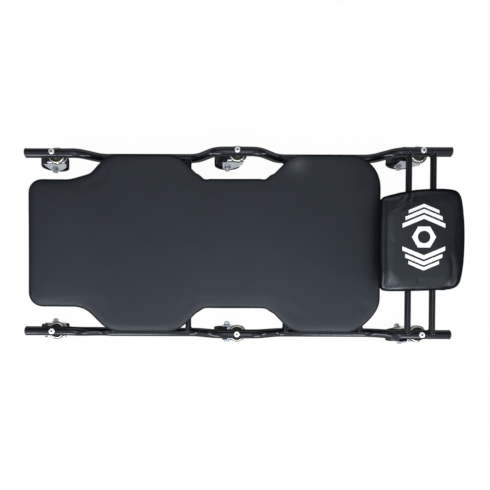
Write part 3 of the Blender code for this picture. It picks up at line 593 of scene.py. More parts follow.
PAINT = gloss_paint()
WELD = mottled("painted_weld", (0.012, 0.012, 0.013), 0.30,
               (160.0, (0.004, 0.0046, 0.0064), (0.009, 0.0098, 0.0125)),
               (300.0, 0.22, 0.36), (700.0, 3.0, 0.0003, 0.5))
PLUG = mottled("black_plug_plastic", (0.017, 0.017, 0.018), 0.48,
               (60.0, (0.012, 0.012, 0.013), (0.026, 0.026, 0.028)),
               (140.0, 0.38, 0.58), (1400.0, 2.0, 0.0002, 0.35))
# painted shade: a near-black finish put inside sockets and recesses, where shade falls
SOCKET_SHADE = mottled("painted_shade_recess", (0.02, 0.02, 0.022), 0.6,
                       (300.0, (0.010, 0.010, 0.012), (0.035, 0.035, 0.036)),
                       (500.0, 0.45, 0.75), (900.0, 3.0, 0.0002, 0.3), 0.15)
# grease and painted shade: darkens the cap's recess, and paints the lower race ring dark as the shaded gap
# between the cap's rim and the fork
RACE_GREASE_AND_SHADE = mottled("race_grease_and_shade", (0.018, 0.016, 0.011), 0.4,
                      (240.0, (0.024, 0.024, 0.017), (0.085, 0.082, 0.058)),
                      (420.0, 0.28, 0.50), (800.0, 3.0, 0.0002, 0.4), 0.30)
BED_VINYL = vinyl("bed_vinyl", (0.0112, 0.0134, 0.0172), (0.0148, 0.0174, 0.0222),
                  (0.42, 0.54), 0.30, 0.395, (0.10, 0.34), BED_PAINTED_HIGHLIGHT)
HEAD_VINYL = vinyl("head_vinyl", (0.0045, 0.0055, 0.0070), (0.0065, 0.0078, 0.0098),
                   (0.23, 0.33), 0.14, 0.56, (0.12, 0.34))
BOARD = board_wood()
FORK_ZINC = plated("fork_zinc", (0.22, 0.245, 0.29), (0.43, 0.46, 0.52), 0.14, 0.28)
RACE_ZINC = plated("race_zinc", (0.62, 0.60, 0.53), (0.82, 0.81, 0.75), 0.28, 0.40)
BRIGHT_ZINC = plated("bright_zinc", (0.72, 0.72, 0.71), (0.92, 0.92, 0.91), 0.16, 0.32)
NUT_ZINC = plated("nut_zinc", (0.20, 0.21, 0.235), (0.36, 0.375, 0.40), 0.26, 0.40)
BOLT_ZINC = plated("bolt_zinc", (0.86, 0.87, 0.88), (0.96, 0.96, 0.965), 0.40, 0.52)
WHEEL = wheel_plastic()
INK = print_ink()


# Frame

ARCH_Z = 0.5 * sum(corner.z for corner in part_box("rail_plug_foot_left"))


def slope_points():
    """One rail slope about its middle, going down along +x, as (x, z) points."""
    bend = math.radians(RAIL_BEND_DEG)
    straight = (RAIL_DROP - 2.0 * RAIL_BEND_R * (1.0 - math.cos(bend))) / math.sin(bend)
    half_run = RAIL_BEND_R * math.sin(bend) + 0.5 * straight * math.cos(bend)
    upper = []
    for step in range(BEND_STEPS + 1):
        turn = bend * step / BEND_STEPS
        drop = RAIL_BEND_R * (1.0 - math.cos(turn))
        upper.append((RAIL_BEND_R * math.sin(turn) - half_run, 0.5 * RAIL_DROP - drop))
    return upper + [(-x, -z) for x, z in reversed(upper)]


def rail_half_gauge(x):
    """Half the distance between the rails, which run in along the slope nearest to the foot."""
    half_run = slope_points()[-1][0]
    start = FOOT_X + END_ARCH_REACH - half_run
    end = FOOT_X + END_ARCH_REACH + half_run
    share = min(1.0, max(0.0, (end - x) / (end - start)))
    return KING_PIN["mid_left"].y + share * (KING_PIN["foot_left"].y - KING_PIN["mid_left"].y)


def rail_route(side):
    low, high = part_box(f"rail_{side}")
    sign = 1.0 if side == "left" else -1.0
    slope = slope_points()
    rise = [(-x, z) for x, z in reversed(slope)]
    slopes = [
        (FOOT_X + END_ARCH_REACH, slope),
        (MID_X - MID_ARCH_REACH, rise),
        (MID_X + MID_ARCH_REACH, slope),
        (HEAD_X - END_ARCH_REACH, rise),
    ]
    profile = [(low.x, ARCH_Z)]
    for centre, points in slopes:
        profile += [(centre + x, ARCH_Z - 0.5 * RAIL_DROP + z) for x, z in points]
    profile.append((high.x, ARCH_Z))
    return [(x, sign * rail_half_gauge(x), z) for x, z in profile]


def weld_bead(x, z, side, rail_z):
    """A rippled bead round the end of a cross tube, where it meets the round of its rail."""
    sign = 1.0 if side == "left" else -1.0
    route = []
    for step in range(WELD_STEPS):
        angle = 2.0 * math.pi * step / WELD_STEPS
        height = z + TUBE_R * math.sin(angle)
        depth = math.sqrt(max(0.0, RAIL_R ** 2 - (height - rail_z) ** 2))
        route.append((x + TUBE_R * math.cos(angle), sign * (rail_half_gauge(x) - depth), height))

    def swell(i):
        phase = 2.0 * math.pi * i / WELD_STEPS
        ripple = WELD_RIPPLE * math.sin(WELD_RIPPLES * phase)
        return 1.0 + ripple + WELD_UNEVEN * math.sin(3.0 * phase + x * WELD_SHIFT)

    return swept(route, WELD_R, cyclic=True, swell=swell)


def dress_frame():
    for side in SIDES:
        mesh = swept(rail_route(side), RAIL_R)
        piece(f"dressed_rail_{side}", mesh, "frame", "frame_paint", PAINT, [f"rail_{side}"])
    tubes = [name for name in frame["nodes"] if name.startswith(("bed_tube", "head_tube"))]
    for name in sorted(tubes):
        low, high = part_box(name)
        x = 0.5 * (low.x + high.x)
        z = 0.5 * (low.z + high.z)
        rail_z = ARCH_Z if name.startswith("head") else ARCH_Z - RAIL_DROP
        reach = rail_half_gauge(x) - TUBE_SINK
        mesh = swept([(x, -reach, z), (x, reach, z)], TUBE_R)
        piece(f"dressed_{name}", mesh, "frame", "frame_paint", PAINT, [name])
        for side in SIDES:
            piece(f"weld_{name}_{side}", weld_bead(x, z, side, rail_z), "frame", "frame_paint", WELD)


def dress_plugs():
    head_r = RAIL_R + PLUG_LIP
    profile = [(0.0, PLUG_HEAD)]
    for step in range(1, 10):
        turn = 0.1 * math.pi * 0.5 * step
        rise = (PLUG_HEAD - PLUG_EDGE) * math.cos(turn) ** PLUG_ROUNDNESS
        profile.append((head_r * math.sin(turn), PLUG_EDGE + rise))
    profile += [(head_r, PLUG_EDGE), (head_r, PLUG_CHAMFER), (head_r - PLUG_CHAMFER, 0.0), (0.0, 0.0)]
    mesh = turned(profile)
    for side in SIDES:
        for end, sign in (("foot", -1.0), ("head", 1.0)):
            low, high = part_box(f"rail_{side}")
            x = low.x if sign < 0.0 else high.x
            node = f"rail_plug_{end}_{side}"
            centre = 0.5 * (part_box(node)[0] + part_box(node)[1])
            facing = Matrix.Rotation(sign * 0.5 * math.pi, 4, "Y")
            matrix = Matrix.Translation((x, centre.y, ARCH_Z)) @ facing
            piece(f"dressed_{node}", mesh, "frame", "plug_plastic", PLUG, [node], matrix)


# Pads

def rounded_half(corners, spacing):
    """Half a pad's outline from its foot to its head, as evenly spaced points with their outward normals.

    Corners are (x, y, radius), and the first and last lie on the middle line.
    """
    line = [Vector(corners[0][:2])]
    for before, (x, y, radius), after in zip(corners, corners[1:], corners[2:]):
        here = Vector((x, y))
        arriving = (here - Vector(before[:2])).normalized()
        leaving = (Vector(after[:2]) - here).normalized()
        turn = -arriving.angle_signed(leaving)
        side = math.copysign(1.0, turn)
        inward = Vector((-arriving.y, arriving.x)) * radius * side
        centre = here - arriving * radius * math.tan(0.5 * abs(turn)) + inward
        for step in range(CORNER_STEPS + 1):
            spoke = -inward
            spoke.rotate(Matrix.Rotation(turn * step / CORNER_STEPS, 2))
            line.append(centre + spoke)
    line.append(Vector(corners[-1][:2]))
    line = [point for point in line if point.y > -1e-6]
    lengths = [0.0]
    for a, b in zip(line, line[1:]):
        lengths.append(lengths[-1] + (b - a).length)
    count = round(lengths[-1] / spacing)
    even = []
    k = 0
    for i in range(count + 1):
        target = lengths[-1] * i / count
        while k < len(lengths) - 2 and lengths[k + 1] < target:
            k += 1
        share = (target - lengths[k]) / max(1e-9, lengths[k + 1] - lengths[k])
        even.append(line[k].lerp(line[k + 1], min(1.0, share)))
    normals = []
    for i in range(count + 1):
        along = even[min(count, i + 1)] - even[max(0, i - 1)]
        if i in (0, count):
            normals.append(Vector((-1.0 if i == 0 else 1.0, 0.0)))
        else:
            normals.append(Vector((-along.y, along.x)).normalized())
    return list(zip(even, normals))


def outline_row(half, inset, height):
    """A half outline drawn in by an inset, with its mirror image, at a height."""
    row = [(p.x - n.x * inset, p.y - n.y * inset, height) for p, n in half]
    return row + [(x, -y, z) for x, y, z in reversed(row)][1:-1]


def pad_mesh(ring, pulled, low, high, shape):
    """A stuffed pad: flat below, drawn in at its board, full at its belly, crowned above.

    ring gives its outline for an inset and a height; pulled moves a row a share of the way to its middle.
    """
    base = low.z
    belly = base + shape["belly"]
    edge = high.z - shape["gap"] - shape["crown"]
    power = 2.0 / shape["square"]
    under = ring(shape["draw"], base)
    rows = [pulled(under, 1.0 - step / PAD_RINGS, base) for step in range(PAD_RINGS)]
    for step in range(PAD_UNDER_STEPS):
        angle = 0.5 * math.pi * step / PAD_UNDER_STEPS
        height = base + (belly - base) * (1.0 - math.cos(angle))
        rows.append(ring(shape["draw"] * (1.0 - math.sin(angle)), height))
    for step in range(PAD_SIDE_STEPS + 1):
        angle = 0.5 * math.pi * step / PAD_SIDE_STEPS
        inset = shape["rounding"] * (1.0 - max(0.0, math.cos(angle)) ** power)
        rows.append(ring(inset, belly + (edge - belly) * math.sin(angle) ** power))
    brim = rows[-1]
    for step in range(1, PAD_RINGS + 1):
        share = step / PAD_RINGS
        rows.append(pulled(brim, share, edge + shape["crown"] * (1.0 - (1.0 - share) ** 2)))
    return cleaned(grid_mesh(rows, closed=True), PAD_WELD)


def bed_mesh(low, high):
    """The bed pad, whose rows close on a spine along its middle line."""
    half = bed_half_outline()
    spine = (low.x + BED_FOOT_Y, high.x - high.y)

    def ring(inset, height):
        return outline_row(half, inset, height)

    def pulled(row, share, height):
        points = []
        for x, y, _ in row:
            spine_x = min(max(x, spine[0]), spine[1])
            points.append((x + share * (spine_x - x), y * (1.0 - share), height))
        return points

    return pad_mesh(ring, pulled, low, high, BED_SHAPE)


def looped_curve(points, steps):
    """A smooth closed curve through points, which lie in order round a loop."""
    count = len(points)
    knots = [Vector(point) for point in points]
    curve = []
    for i in range(count):
        before, here, after, beyond = (knots[(i + k) % count] for k in (-1, 0, 1, 2))
        for step in range(steps):
            t = step / steps
            bend = 2.0 * before - 5.0 * here + 4.0 * after - beyond
            twist = 3.0 * here - before - 3.0 * after + beyond
            curve.append(0.5 * (2.0 * here + (after - before) * t + bend * t * t + twist * t ** 3))
    return curve


def head_mesh(low, high):
    """The headrest pad: every level is its outline drawn towards one centre."""
    loop = looped_curve(HEAD_LINE, HEAD_LINE_STEPS)
    middle = Vector(HEAD_CENTRE)

    def ring(inset, height):
        row = []
        for point in loop:
            spoke = point - middle
            wider = 1.0 + HEAD_END_SLOPE * max(0.0, spoke.x / spoke.length) ** 2
            place = middle + spoke * (1.0 - inset * wider / spoke.length)
            row.append((place.x, place.y, height))
        return row

    def pulled(row, share, height):
        return [(x + share * (middle.x - x), y + share * (middle.y - y), height) for x, y, _ in row]

    form = pad_mesh(ring, pulled, low, high, HEAD_SHAPE)
    even = modified(form, "REMESH", mode="VOXEL", voxel_size=HEAD_VOXEL)
    return modified(even, "SMOOTH", factor=0.5, iterations=HEAD_SMOOTHING)


def stuffed(mesh, base, pressure, limit):
    """The mesh blown up a little by a cloth simulation, held along its flat underside."""
    rest = [vertex.co.copy() for vertex in mesh.vertices]
    thing = linked("stuffing", mesh)
    held = thing.vertex_groups.new(name="held")
    held.add([i for i, co in enumerate(rest) if co.z < base + HELD_BAND], 1.0, "REPLACE")
    settings = thing.modifiers.new("cloth", "CLOTH").settings
    for name, value in CLOTH.items():
        setattr(settings, name, value)
    settings.uniform_pressure_force = pressure
    settings.effector_weights.gravity = 0.0
    for number in range(1, CLOTH_FRAMES + 1):
        bpy.context.scene.frame_set(number)
    depsgraph = bpy.context.evaluated_depsgraph_get()
    blown = [vertex.co.copy() for vertex in thing.evaluated_get(depsgraph).data.vertices]
    bpy.context.scene.frame_set(1)
    bpy.data.objects.remove(thing)
    for vertex, start, end in zip(mesh.vertices, rest, blown):
        move = end - start
        if move.length > limit:
            move = move.normalized() * limit
        vertex.co = start + move
    return mesh


def subdivided(mesh):
    return modified(mesh, "SUBSURF", levels=1, render_levels=1)


def creased(mesh, base, folds):
    """Presses short soft folds into a pad's top and sides.

    A fold is (x, y, direction in degrees, length, width, rise); a negative rise is a groove.
    """
    normals = [vertex.normal.copy() for vertex in mesh.vertices]
    for vertex, normal in zip(mesh.vertices, normals):
        if vertex.co.z < base + FOLD_FLOOR:
            continue
        rise = 0.0
        for x, y, degrees, length, width, height in folds:
            turn = math.radians(degrees)
            dx = vertex.co.x - x
            dy = vertex.co.y - y
            along = (dx * math.cos(turn) + dy * math.sin(turn)) / (0.5 * length)
            bow = FOLD_BOW * length * (along * along - 0.3)
            across = (dy * math.cos(turn) - dx * math.sin(turn) - bow) / (0.5 * width)
            if abs(along) < 2.0 and abs(across) < 3.0:
                rise += height * math.exp(-along * along * along * along - across * across)
        vertex.co += normal * rise
    return mesh


def sagged(mesh, base, top, sags):
    """Lets round patches of a pad's top sink; a sag is (x, y, radius, depth)."""
    for vertex in mesh.vertices:
        rise = (vertex.co.z - base) / (top - base)
        for x, y, radius, depth in sags:
            far = math.hypot(vertex.co.x - x, vertex.co.y - y) / radius
            if far < 1.0:
                vertex.co.z -= rise * depth * (1.0 - far * far) ** 2
    return mesh


def tucked(mesh, tucks):
    """Moves round patches of a pad sideways, as its cover is pulled or gathered there.

    A tuck is (x, y, move along x, move along y, radius).
    """
    for vertex in mesh.vertices:
        for x, y, move_x, move_y, radius in tucks:
            far = math.hypot(vertex.co.x - x, vertex.co.y - y) / radius
            if far < 1.0:
                share = (1.0 - far * far) ** 2
                vertex.co.x += share * move_x
                vertex.co.y += share * move_y
    return mesh


def bed_half_outline():
    low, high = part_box("bed_cushion")
    wide = high.y
    flank = FOOT_X + BED_FOOT_FLANK
    footward = MID_X - BED_MID_FLANK_FOOTWARD
    headward = MID_X + BED_MID_FLANK_HEADWARD
    flare = wide - BED_WAIST_Y
    r = BED_CORNERS
    corners = [
        (low.x, 0.0, 0.0),
        (low.x, BED_FOOT_Y, r["foot"]),
        (flank, BED_FOOT_Y, r["foot_hollow"]),
        (flank + wide - BED_FOOT_Y, wide, r["shoulder"]),
        (footward - flare, wide, r["shoulder"]),
        (footward, BED_WAIST_Y, r["waist"]),
        (headward, BED_WAIST_Y, r["waist"]),
        (headward + flare, wide, r["shoulder"]),
        (high.x, wide, r["head"]),
        (high.x, 0.0, 0.0),
    ]
    return rounded_half(corners, BED_SPACING)


def head_half_outline():
    neck_x = HEAD_X - HEAD_NECK_REACH
    end_x = HEAD_X + HEAD_END_REACH
    r = HEAD_CORNERS
    corners = [
        (neck_x, 0.0, 0.0),
        (neck_x, HEAD_NECK_Y, r["neck"]),
        (end_x, HEAD_END_Y, r["end"]),
        (end_x + HEAD_BULGE, 0.0, r["bulge"]),
        (end_x, -HEAD_END_Y, r["end"]),
    ]
    return rounded_half(corners, HEAD_SPACING)


def dress_pads():
    """The bed pad and the headrest pad; returns the headrest's finished mesh."""
    low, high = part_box("bed_cushion")
    bed = stuffed(bed_mesh(low, high), low.z, BED_PRESSURE, BED_SWELL)
    bed = tucked(subdivided(bed), BED_TUCKS)
    thing = piece("dressed_bed_cushion", bed, "frame", "bed_vinyl", BED_VINYL, ["bed_cushion"])
    low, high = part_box("head_cushion")
    head = stuffed(head_mesh(low, high), low.z, HEAD_PRESSURE, HEAD_SWELL)
    head = creased(subdivided(head), low.z, HEAD_FOLDS)
    head = sagged(head, low.z, high.z, HEAD_SAGS)
    thing = piece("dressed_head_cushion", head, "frame", "head_vinyl", HEAD_VINYL, ["head_cushion"])
    return head


def wrap_mesh(half, board_inset, low, high):
    """The cover drawn over a board's edge and folded under it, as one closed band."""
    outside = board_inset - WRAP_T
    hem = board_inset + WRAP_HEM
    under = low - WRAP_T
    section = [(outside, high), (outside - WRAP_BULGE, 0.5 * (low + high)), (outside, low + 0.4 * WRAP_T)]
    section += [(outside + 0.3 * WRAP_T, under + 0.3 * WRAP_T), (board_inset, under)]
    section += [(board_inset + (hem - board_inset) * k / 4, under) for k in range(1, 5)]
    inside = board_inset - 0.1 * WRAP_T
    section += [(hem, low - 0.1 * WRAP_T), (board_inset, low - 0.1 * WRAP_T), (inside, low), (inside, high)]
    rows = [outline_row(half, inset, height) for inset, height in section + section[:1]]
    return grid_mesh(rows, closed=True)


def staples_mesh(half, inset, height, pitch):
    """Wire staples through a hem, all in one mesh."""
    whole = half + [(Vector((p.x, -p.y)), Vector((n.x, -n.y))) for p, n in reversed(half)][1:-1]
    gather = bmesh.new()
    walked = 0.5 * pitch
    for (a, n), (b, _) in zip(whole, whole[1:] + whole[:1]):
        walked += (b - a).length
        if walked < pitch:
            continue
        walked -= pitch
        centre = a - n * inset
        along = Vector((-n.y, n.x)) * (0.5 * STAPLE_CROWN)
        route = []
        for share, rise in ((-1.0, STAPLE_SINK), (-1.0, 0.2 * STAPLE_SINK), (-0.9, 0.0), (0.9, 0.0),
                            (1.0, 0.2 * STAPLE_SINK), (1.0, STAPLE_SINK)):
            flat = centre + along * share
            route.append((flat.x, flat.y, height + rise))
        gather.from_mesh(swept(route, STAPLE_R, resolution=2))
    mesh = bpy.data.meshes.new("staples")
    gather.to_mesh(mesh)
    gather.free()
    return mesh


def dress_boards():
    """Folded covers round both boards, with their staples, and the screws from below."""
    for kind, half, vinyl_finish, inset in (("bed", bed_half_outline(), BED_VINYL, BED_BOARD_INSET),
                                            ("head", head_half_outline(), HEAD_VINYL, HEAD_BOARD_INSET)):
        low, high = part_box(f"{kind}_board")
        wrap = wrap_mesh(half, inset, low.z, high.z)
        piece(f"{kind}_wrap", wrap, "frame", f"{kind}_vinyl", vinyl_finish)
        staples = staples_mesh(half, inset + STAPLE_INSET, low.z - WRAP_T - 0.5 * STAPLE_R, STAPLE_PITCH)
        piece(f"{kind}_staples", staples, "frame", "bright_zinc", BRIGHT_ZINC)
    screw = screw_mesh()
    for name in sorted(name for name in frame["nodes"] if "_screw_" in name):
        low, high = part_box(name)
        centre = 0.5 * (low + high)
        turn = Matrix.Rotation(SCREW_TURN * centre.x, 4, "Z")
        matrix = Matrix.Translation((centre.x, centre.y, low.z)) @ turn
        # the screw's cross recess takes the painted shade
        piece(f"dressed_{name}", screw, "frame", "bright_zinc", BRIGHT_ZINC, [name], matrix, SOCKET_SHADE)


def screw_mesh():
    """A pan-head screw about Z that points up from z = 0, with a cross recess in its head."""
    edge = 0.4 * SCREW_HEAD_T
    profile = [(0.0, 0.0)]
    for step in range(1, 9):
        turn = 0.5 * math.pi * step / 8
        profile.append((SCREW_HEAD_R * math.sin(turn), edge * (1.0 - math.cos(turn)) * 2.0))
    profile += [(SCREW_HEAD_R, SCREW_HEAD_T), (SCREW_R, SCREW_HEAD_T), (SCREW_R, SCREW_LENGTH - SCREW_R)]
    profile += [(0.0, SCREW_LENGTH)]
    slot_half = 0.12 * SCREW_HEAD_R
    reach = 0.55 * SCREW_HEAD_R
    depth = 0.7 * SCREW_HEAD_T
    mesh = turned(profile)
    for turn in (0.0, 0.5 * math.pi):
        bar = swept([(-reach, 0.0, 0.0), (reach, 0.0, 0.0)], slot_half, resolution=2)
        bar.transform(Matrix.Rotation(turn, 4, "Z") @ Matrix.Diagonal((1.0, 1.0, depth / slot_half, 1.0)))
        mesh = shaped(mesh, bar)
    # the faces of the cross recess take the second material, the painted shade
    return recessed(mesh, reach, lambda z: 0.2 * SCREW_HEAD_T < z < 0.9 * SCREW_HEAD_T)


# Print on the headrest

def circle(radius):
    turns = [2.0 * math.pi * k / ROUND_STEPS for k in range(ROUND_STEPS)]
    return [(radius * math.cos(turn), radius * math.sin(turn)) for turn in turns]


def print_shapes():
    """Flat outlines about the print's centre: a nut, and chevrons that point away from it on both sides."""
    shapes = []
    outer = circle(PRINT_NUT_R)
    flat = [hexagon_reach(math.atan2(y, x)) for x, y in outer]
    outer = [(x * share, y * share) for (x, y), share in zip(outer, flat)]
    inner = circle(PRINT_NUT_HOLE_R)
    for k in range(ROUND_STEPS):
        j = (k + 1) % ROUND_STEPS
        shapes.append([inner[k], outer[k], outer[j], inner[j]])
    for sign in (-1.0, 1.0):
        for start, half, stroke in PRINT_CHEVRONS:
            tip = start + PRINT_CHEVRON_RISE * half
            for flank in (-1.0, 1.0):
                inside = [(0.0, sign * tip), (0.0, sign * (tip + stroke))]
                outside = [(flank * half, sign * (start + stroke)), (flank * half, sign * start)]
                shapes.append(inside + outside)
    return shapes


def hexagon_reach(angle):
    """How far a hexagon reaches at an angle, as a share of its corner radius."""
    third = math.pi / 3.0
    return math.cos(0.5 * third) / math.cos((angle % third) - 0.5 * third)


def print_mesh(shapes, ground):
    """The print as a thin skin that lies on the headrest's finished mesh."""
    points = [vertex.co for vertex in ground.vertices]
    tree = BVHTree.FromPolygons(points, [face.vertices for face in ground.polygons])
    cage = bmesh.new()
    for shape in shapes:
        corners = [cage.verts.new((PRINT_X + x, PRINT_Y + y, 0.0)) for x, y in shape]
        cage.faces.new(corners)
    bmesh.ops.remove_doubles(cage, verts=cage.verts, dist=1e-6)
    for axis in (Vector((1.0, 0.0, 0.0)), Vector((0.0, 1.0, 0.0))):
        for step in range(round(2.0 * PRINT_REACH / PRINT_GRID)):
            place = Vector((PRINT_X, PRINT_Y, 0.0)) + axis * (step * PRINT_GRID - PRINT_REACH)
            parts = cage.verts[:] + cage.edges[:] + cage.faces[:]
            bmesh.ops.bisect_plane(cage, geom=parts, dist=1e-7, plane_co=place, plane_no=axis)
    bmesh.ops.recalc_face_normals(cage, faces=cage.faces)
    for vertex in cage.verts:
        hit = tree.ray_cast(Vector((vertex.co.x, vertex.co.y, 1.0)), Vector((0.0, 0.0, -1.0)))
        vertex.co.z = hit[0].z + PRINT_RISE
    for face in cage.faces:
        if face.normal.z < 0.0:
            face.normal_flip()
    mesh = bpy.data.meshes.new("print")
    cage.to_mesh(mesh)
    cage.free()
    return modified(mesh, "SOLIDIFY", thickness=PRINT_T, offset=0.0)


# Casters

def fork_mesh():
    """A stamped fork about its king pin: one bent plate with trimmed edges, rounded over."""
    axle = Vector((FORK_TRAIL, AXLE_Z))
    front = Vector((FORK_FRONT_X, CROWN_Z - FORK_FRONT_LIP))
    back = Vector((FORK_LEG_BACK_X, CROWN_Z - FORK_LEG_BACK_DROP))
    knee = Vector((FORK_KNEE_X, AXLE_Z + FORK_KNEE_RISE))
    front_turn = math.atan2(*(knee - axle).yx) + math.acos(FORK_BOSS_R / (knee - axle).length)
    back_turn = math.atan2(*(back - axle).yx) - math.acos(FORK_BOSS_R / (back - axle).length)
    leg_top = CROWN_Z - FORK_LEG_TOP_DROP
    front_foot = axle + FORK_BOSS_R * Vector((math.cos(front_turn), math.sin(front_turn)))
    back_foot = axle + FORK_BOSS_R * Vector((math.cos(back_turn), math.sin(back_turn)))

    def boss(z):
        return math.sqrt(max(0.0, FORK_BOSS_R ** 2 - (z - AXLE_Z) ** 2))

    def on_line(a, b, z):
        return a.x + (b.x - a.x) * (z - a.y) / (b.y - a.y)

    def on_bend(z):
        square = front.y - 2.0 * knee.y + front_foot.y
        slant = 2.0 * (knee.y - front.y)
        done = 2.0 * (front.y - z) / (-slant + math.sqrt(slant * slant - 4.0 * square * (front.y - z)))
        rest = 1.0 - done
        return rest * rest * front.x + 2.0 * done * rest * knee.x + done * done * front_foot.x

    def front_edge(y, z):
        plan = -math.sqrt(FORK_CROWN_R ** 2 - y * y)
        if z >= front.y:
            return plan
        if z <= front_foot.y:
            return axle.x - boss(z)
        return max(plan, on_bend(z))

    def back_edge(z):
        if z >= leg_top:
            return FORK_BACK_X
        if z >= back.y:
            return on_line(Vector((FORK_BACK_X, leg_top)), back, z)
        if z <= back_foot.y:
            return axle.x + boss(z)
        return on_line(back, back_foot, z)

    heights = [CROWN_Z - FORK_BEND_R - 0.0006]
    heights += [leg_top - (FORK_LEG_BACK_DROP - FORK_LEG_TOP_DROP) * k / 6 for k in range(1, 7)]
    heights += [back.y + (front_foot.y - back.y) * k / 20 for k in range(1, 21)]
    low_turn = math.asin((front_foot.y - AXLE_Z) / FORK_BOSS_R)
    to_bottom = -0.5 * math.pi - low_turn
    heights += [AXLE_Z + FORK_BOSS_R * math.sin(low_turn + to_bottom * k / 8) for k in range(1, 9)]
    section = [(FORK_HALF_W, z) for z in reversed(heights)]
    corner = (FORK_HALF_W - FORK_BEND_R, CROWN_Z - FORK_BEND_R)
    section += arc(corner, FORK_BEND_R, 0.0, 90.0, 7)
    section += [(corner[0] * (1.0 - k / 6), CROWN_Z) for k in range(1, 7)]
    section += [(-y, z) for y, z in reversed(section[:-1])]
    rows = []
    for y, z in section:
        start = front_edge(y, z)
        end = back_edge(z)
        rows.append([(start + (end - start) * k / FORK_COLUMNS, y, z) for k in range(FORK_COLUMNS + 1)])
    plate = cleaned(modified(grid_mesh(rows), "SOLIDIFY", thickness=FORK_PLATE, offset=-1.0))
    return modified(plate, "BEVEL", width=FORK_EDGE, segments=2, limit_method="ANGLE",
                    angle_limit=math.radians(FORK_EDGE_DEG), use_clamp_overlap=True)


def lower_race_mesh():
    """The raised ring on the fork's crown that the balls run in."""
    base = CROWN_Z - LOWER_RACE_SINK
    top = CROWN_Z + LOWER_RACE_RISE
    inner = RACE_R + LOWER_RACE_GAP
    profile = [(inner, base), (inner, top - 0.0008)]
    profile += arc((inner + LOWER_RACE_LIP, top - LOWER_RACE_LIP), LOWER_RACE_LIP, 180.0, 90.0, 4)
    profile += arc((LOWER_RACE_R - RACE_ROLL, top - RACE_ROLL), RACE_ROLL, 90.0, 0.0, 5)
    profile += [(LOWER_RACE_R, base), (inner, base)]
    return turned(profile)


def swivel_cap_mesh():
    """The dished upper race: raised rolled rim, recess, boss under the rail and the riveted king pin."""
    base = CROWN_Z + PLAY
    floor_z = base + CAP_FLOOR
    fillet_z = floor_z + CAP_BOSS_FILLET
    profile = [(radius, base + RACE_H + rise) for radius, rise in CAP_BOSS]
    profile += [(CAP_BOSS_R, fillet_z)]
    profile += arc((CAP_BOSS_R + CAP_BOSS_FILLET, fillet_z), CAP_BOSS_FILLET, 180.0, 270.0, 3)
    profile += [(radius, floor_z + rise) for radius, rise in CAP_RING]
    profile += arc((CAP_CORNER_R, floor_z + CAP_CORNER), CAP_CORNER, 270.0, 360.0, 3)
    profile += arc((RACE_R - RACE_ROLL, base + CAP_RIM - RACE_ROLL), RACE_ROLL, 180.0, 0.0, 8)
    profile += [(RACE_R + depth, base + rise) for depth, rise in CAP_GROOVE]
    under = CROWN_Z - FORK_PLATE - PLAY
    profile += [(RACE_R, base), (KING_PIN_R, base), (KING_PIN_R, under)]
    profile += [(radius, under + rise) for radius, rise in KING_PIN_RIVET]
    # the recess faces take the second material, dark as grease and painted shade
    return recessed(turned(profile, 2 * ROUND_STEPS), RACE_RECESS_R, lambda z: z > base)


def bolt_mesh():
    """A socket button head about Z, seated at z = 0, with its hexagon socket."""
    dome = [(0.0, BOLT_HEAD_T), (BOLT_FLAT_R, BOLT_HEAD_T)]
    for step in range(1, 9):
        turn = 0.5 * math.pi * step / 8
        dome.append((BOLT_FLAT_R + (BOLT_HEAD_R - BOLT_FLAT_R) * math.sin(turn),
                     BOLT_RIM_Z + (BOLT_HEAD_T - BOLT_RIM_Z) * math.cos(turn)))
    shank = [(BOLT_SHANK_R, 0.0), (BOLT_SHANK_R, -BOLT_SHANK), (0.0, -BOLT_SHANK)]
    profile = dome + [(BOLT_HEAD_R, 0.0)] + shank
    depth = BOLT_HEAD_T - BOLT_SOCKET_DEPTH
    tool = [(0.0, BOLT_TOOL_TOP), (BOLT_SOCKET_R, BOLT_TOOL_TOP), (BOLT_SOCKET_R, depth)]
    socket = turned(tool + [(0.0, depth - BOLT_SOCKET_TIP)], 6)
    mesh = shaped(turned(profile), socket)
    # the socket's faces take the second material, the painted shade
    return recessed(mesh, BOLT_SOCKET_R + 1e-5, lambda z: 0.0 < z < BOLT_HEAD_T - 1e-5)


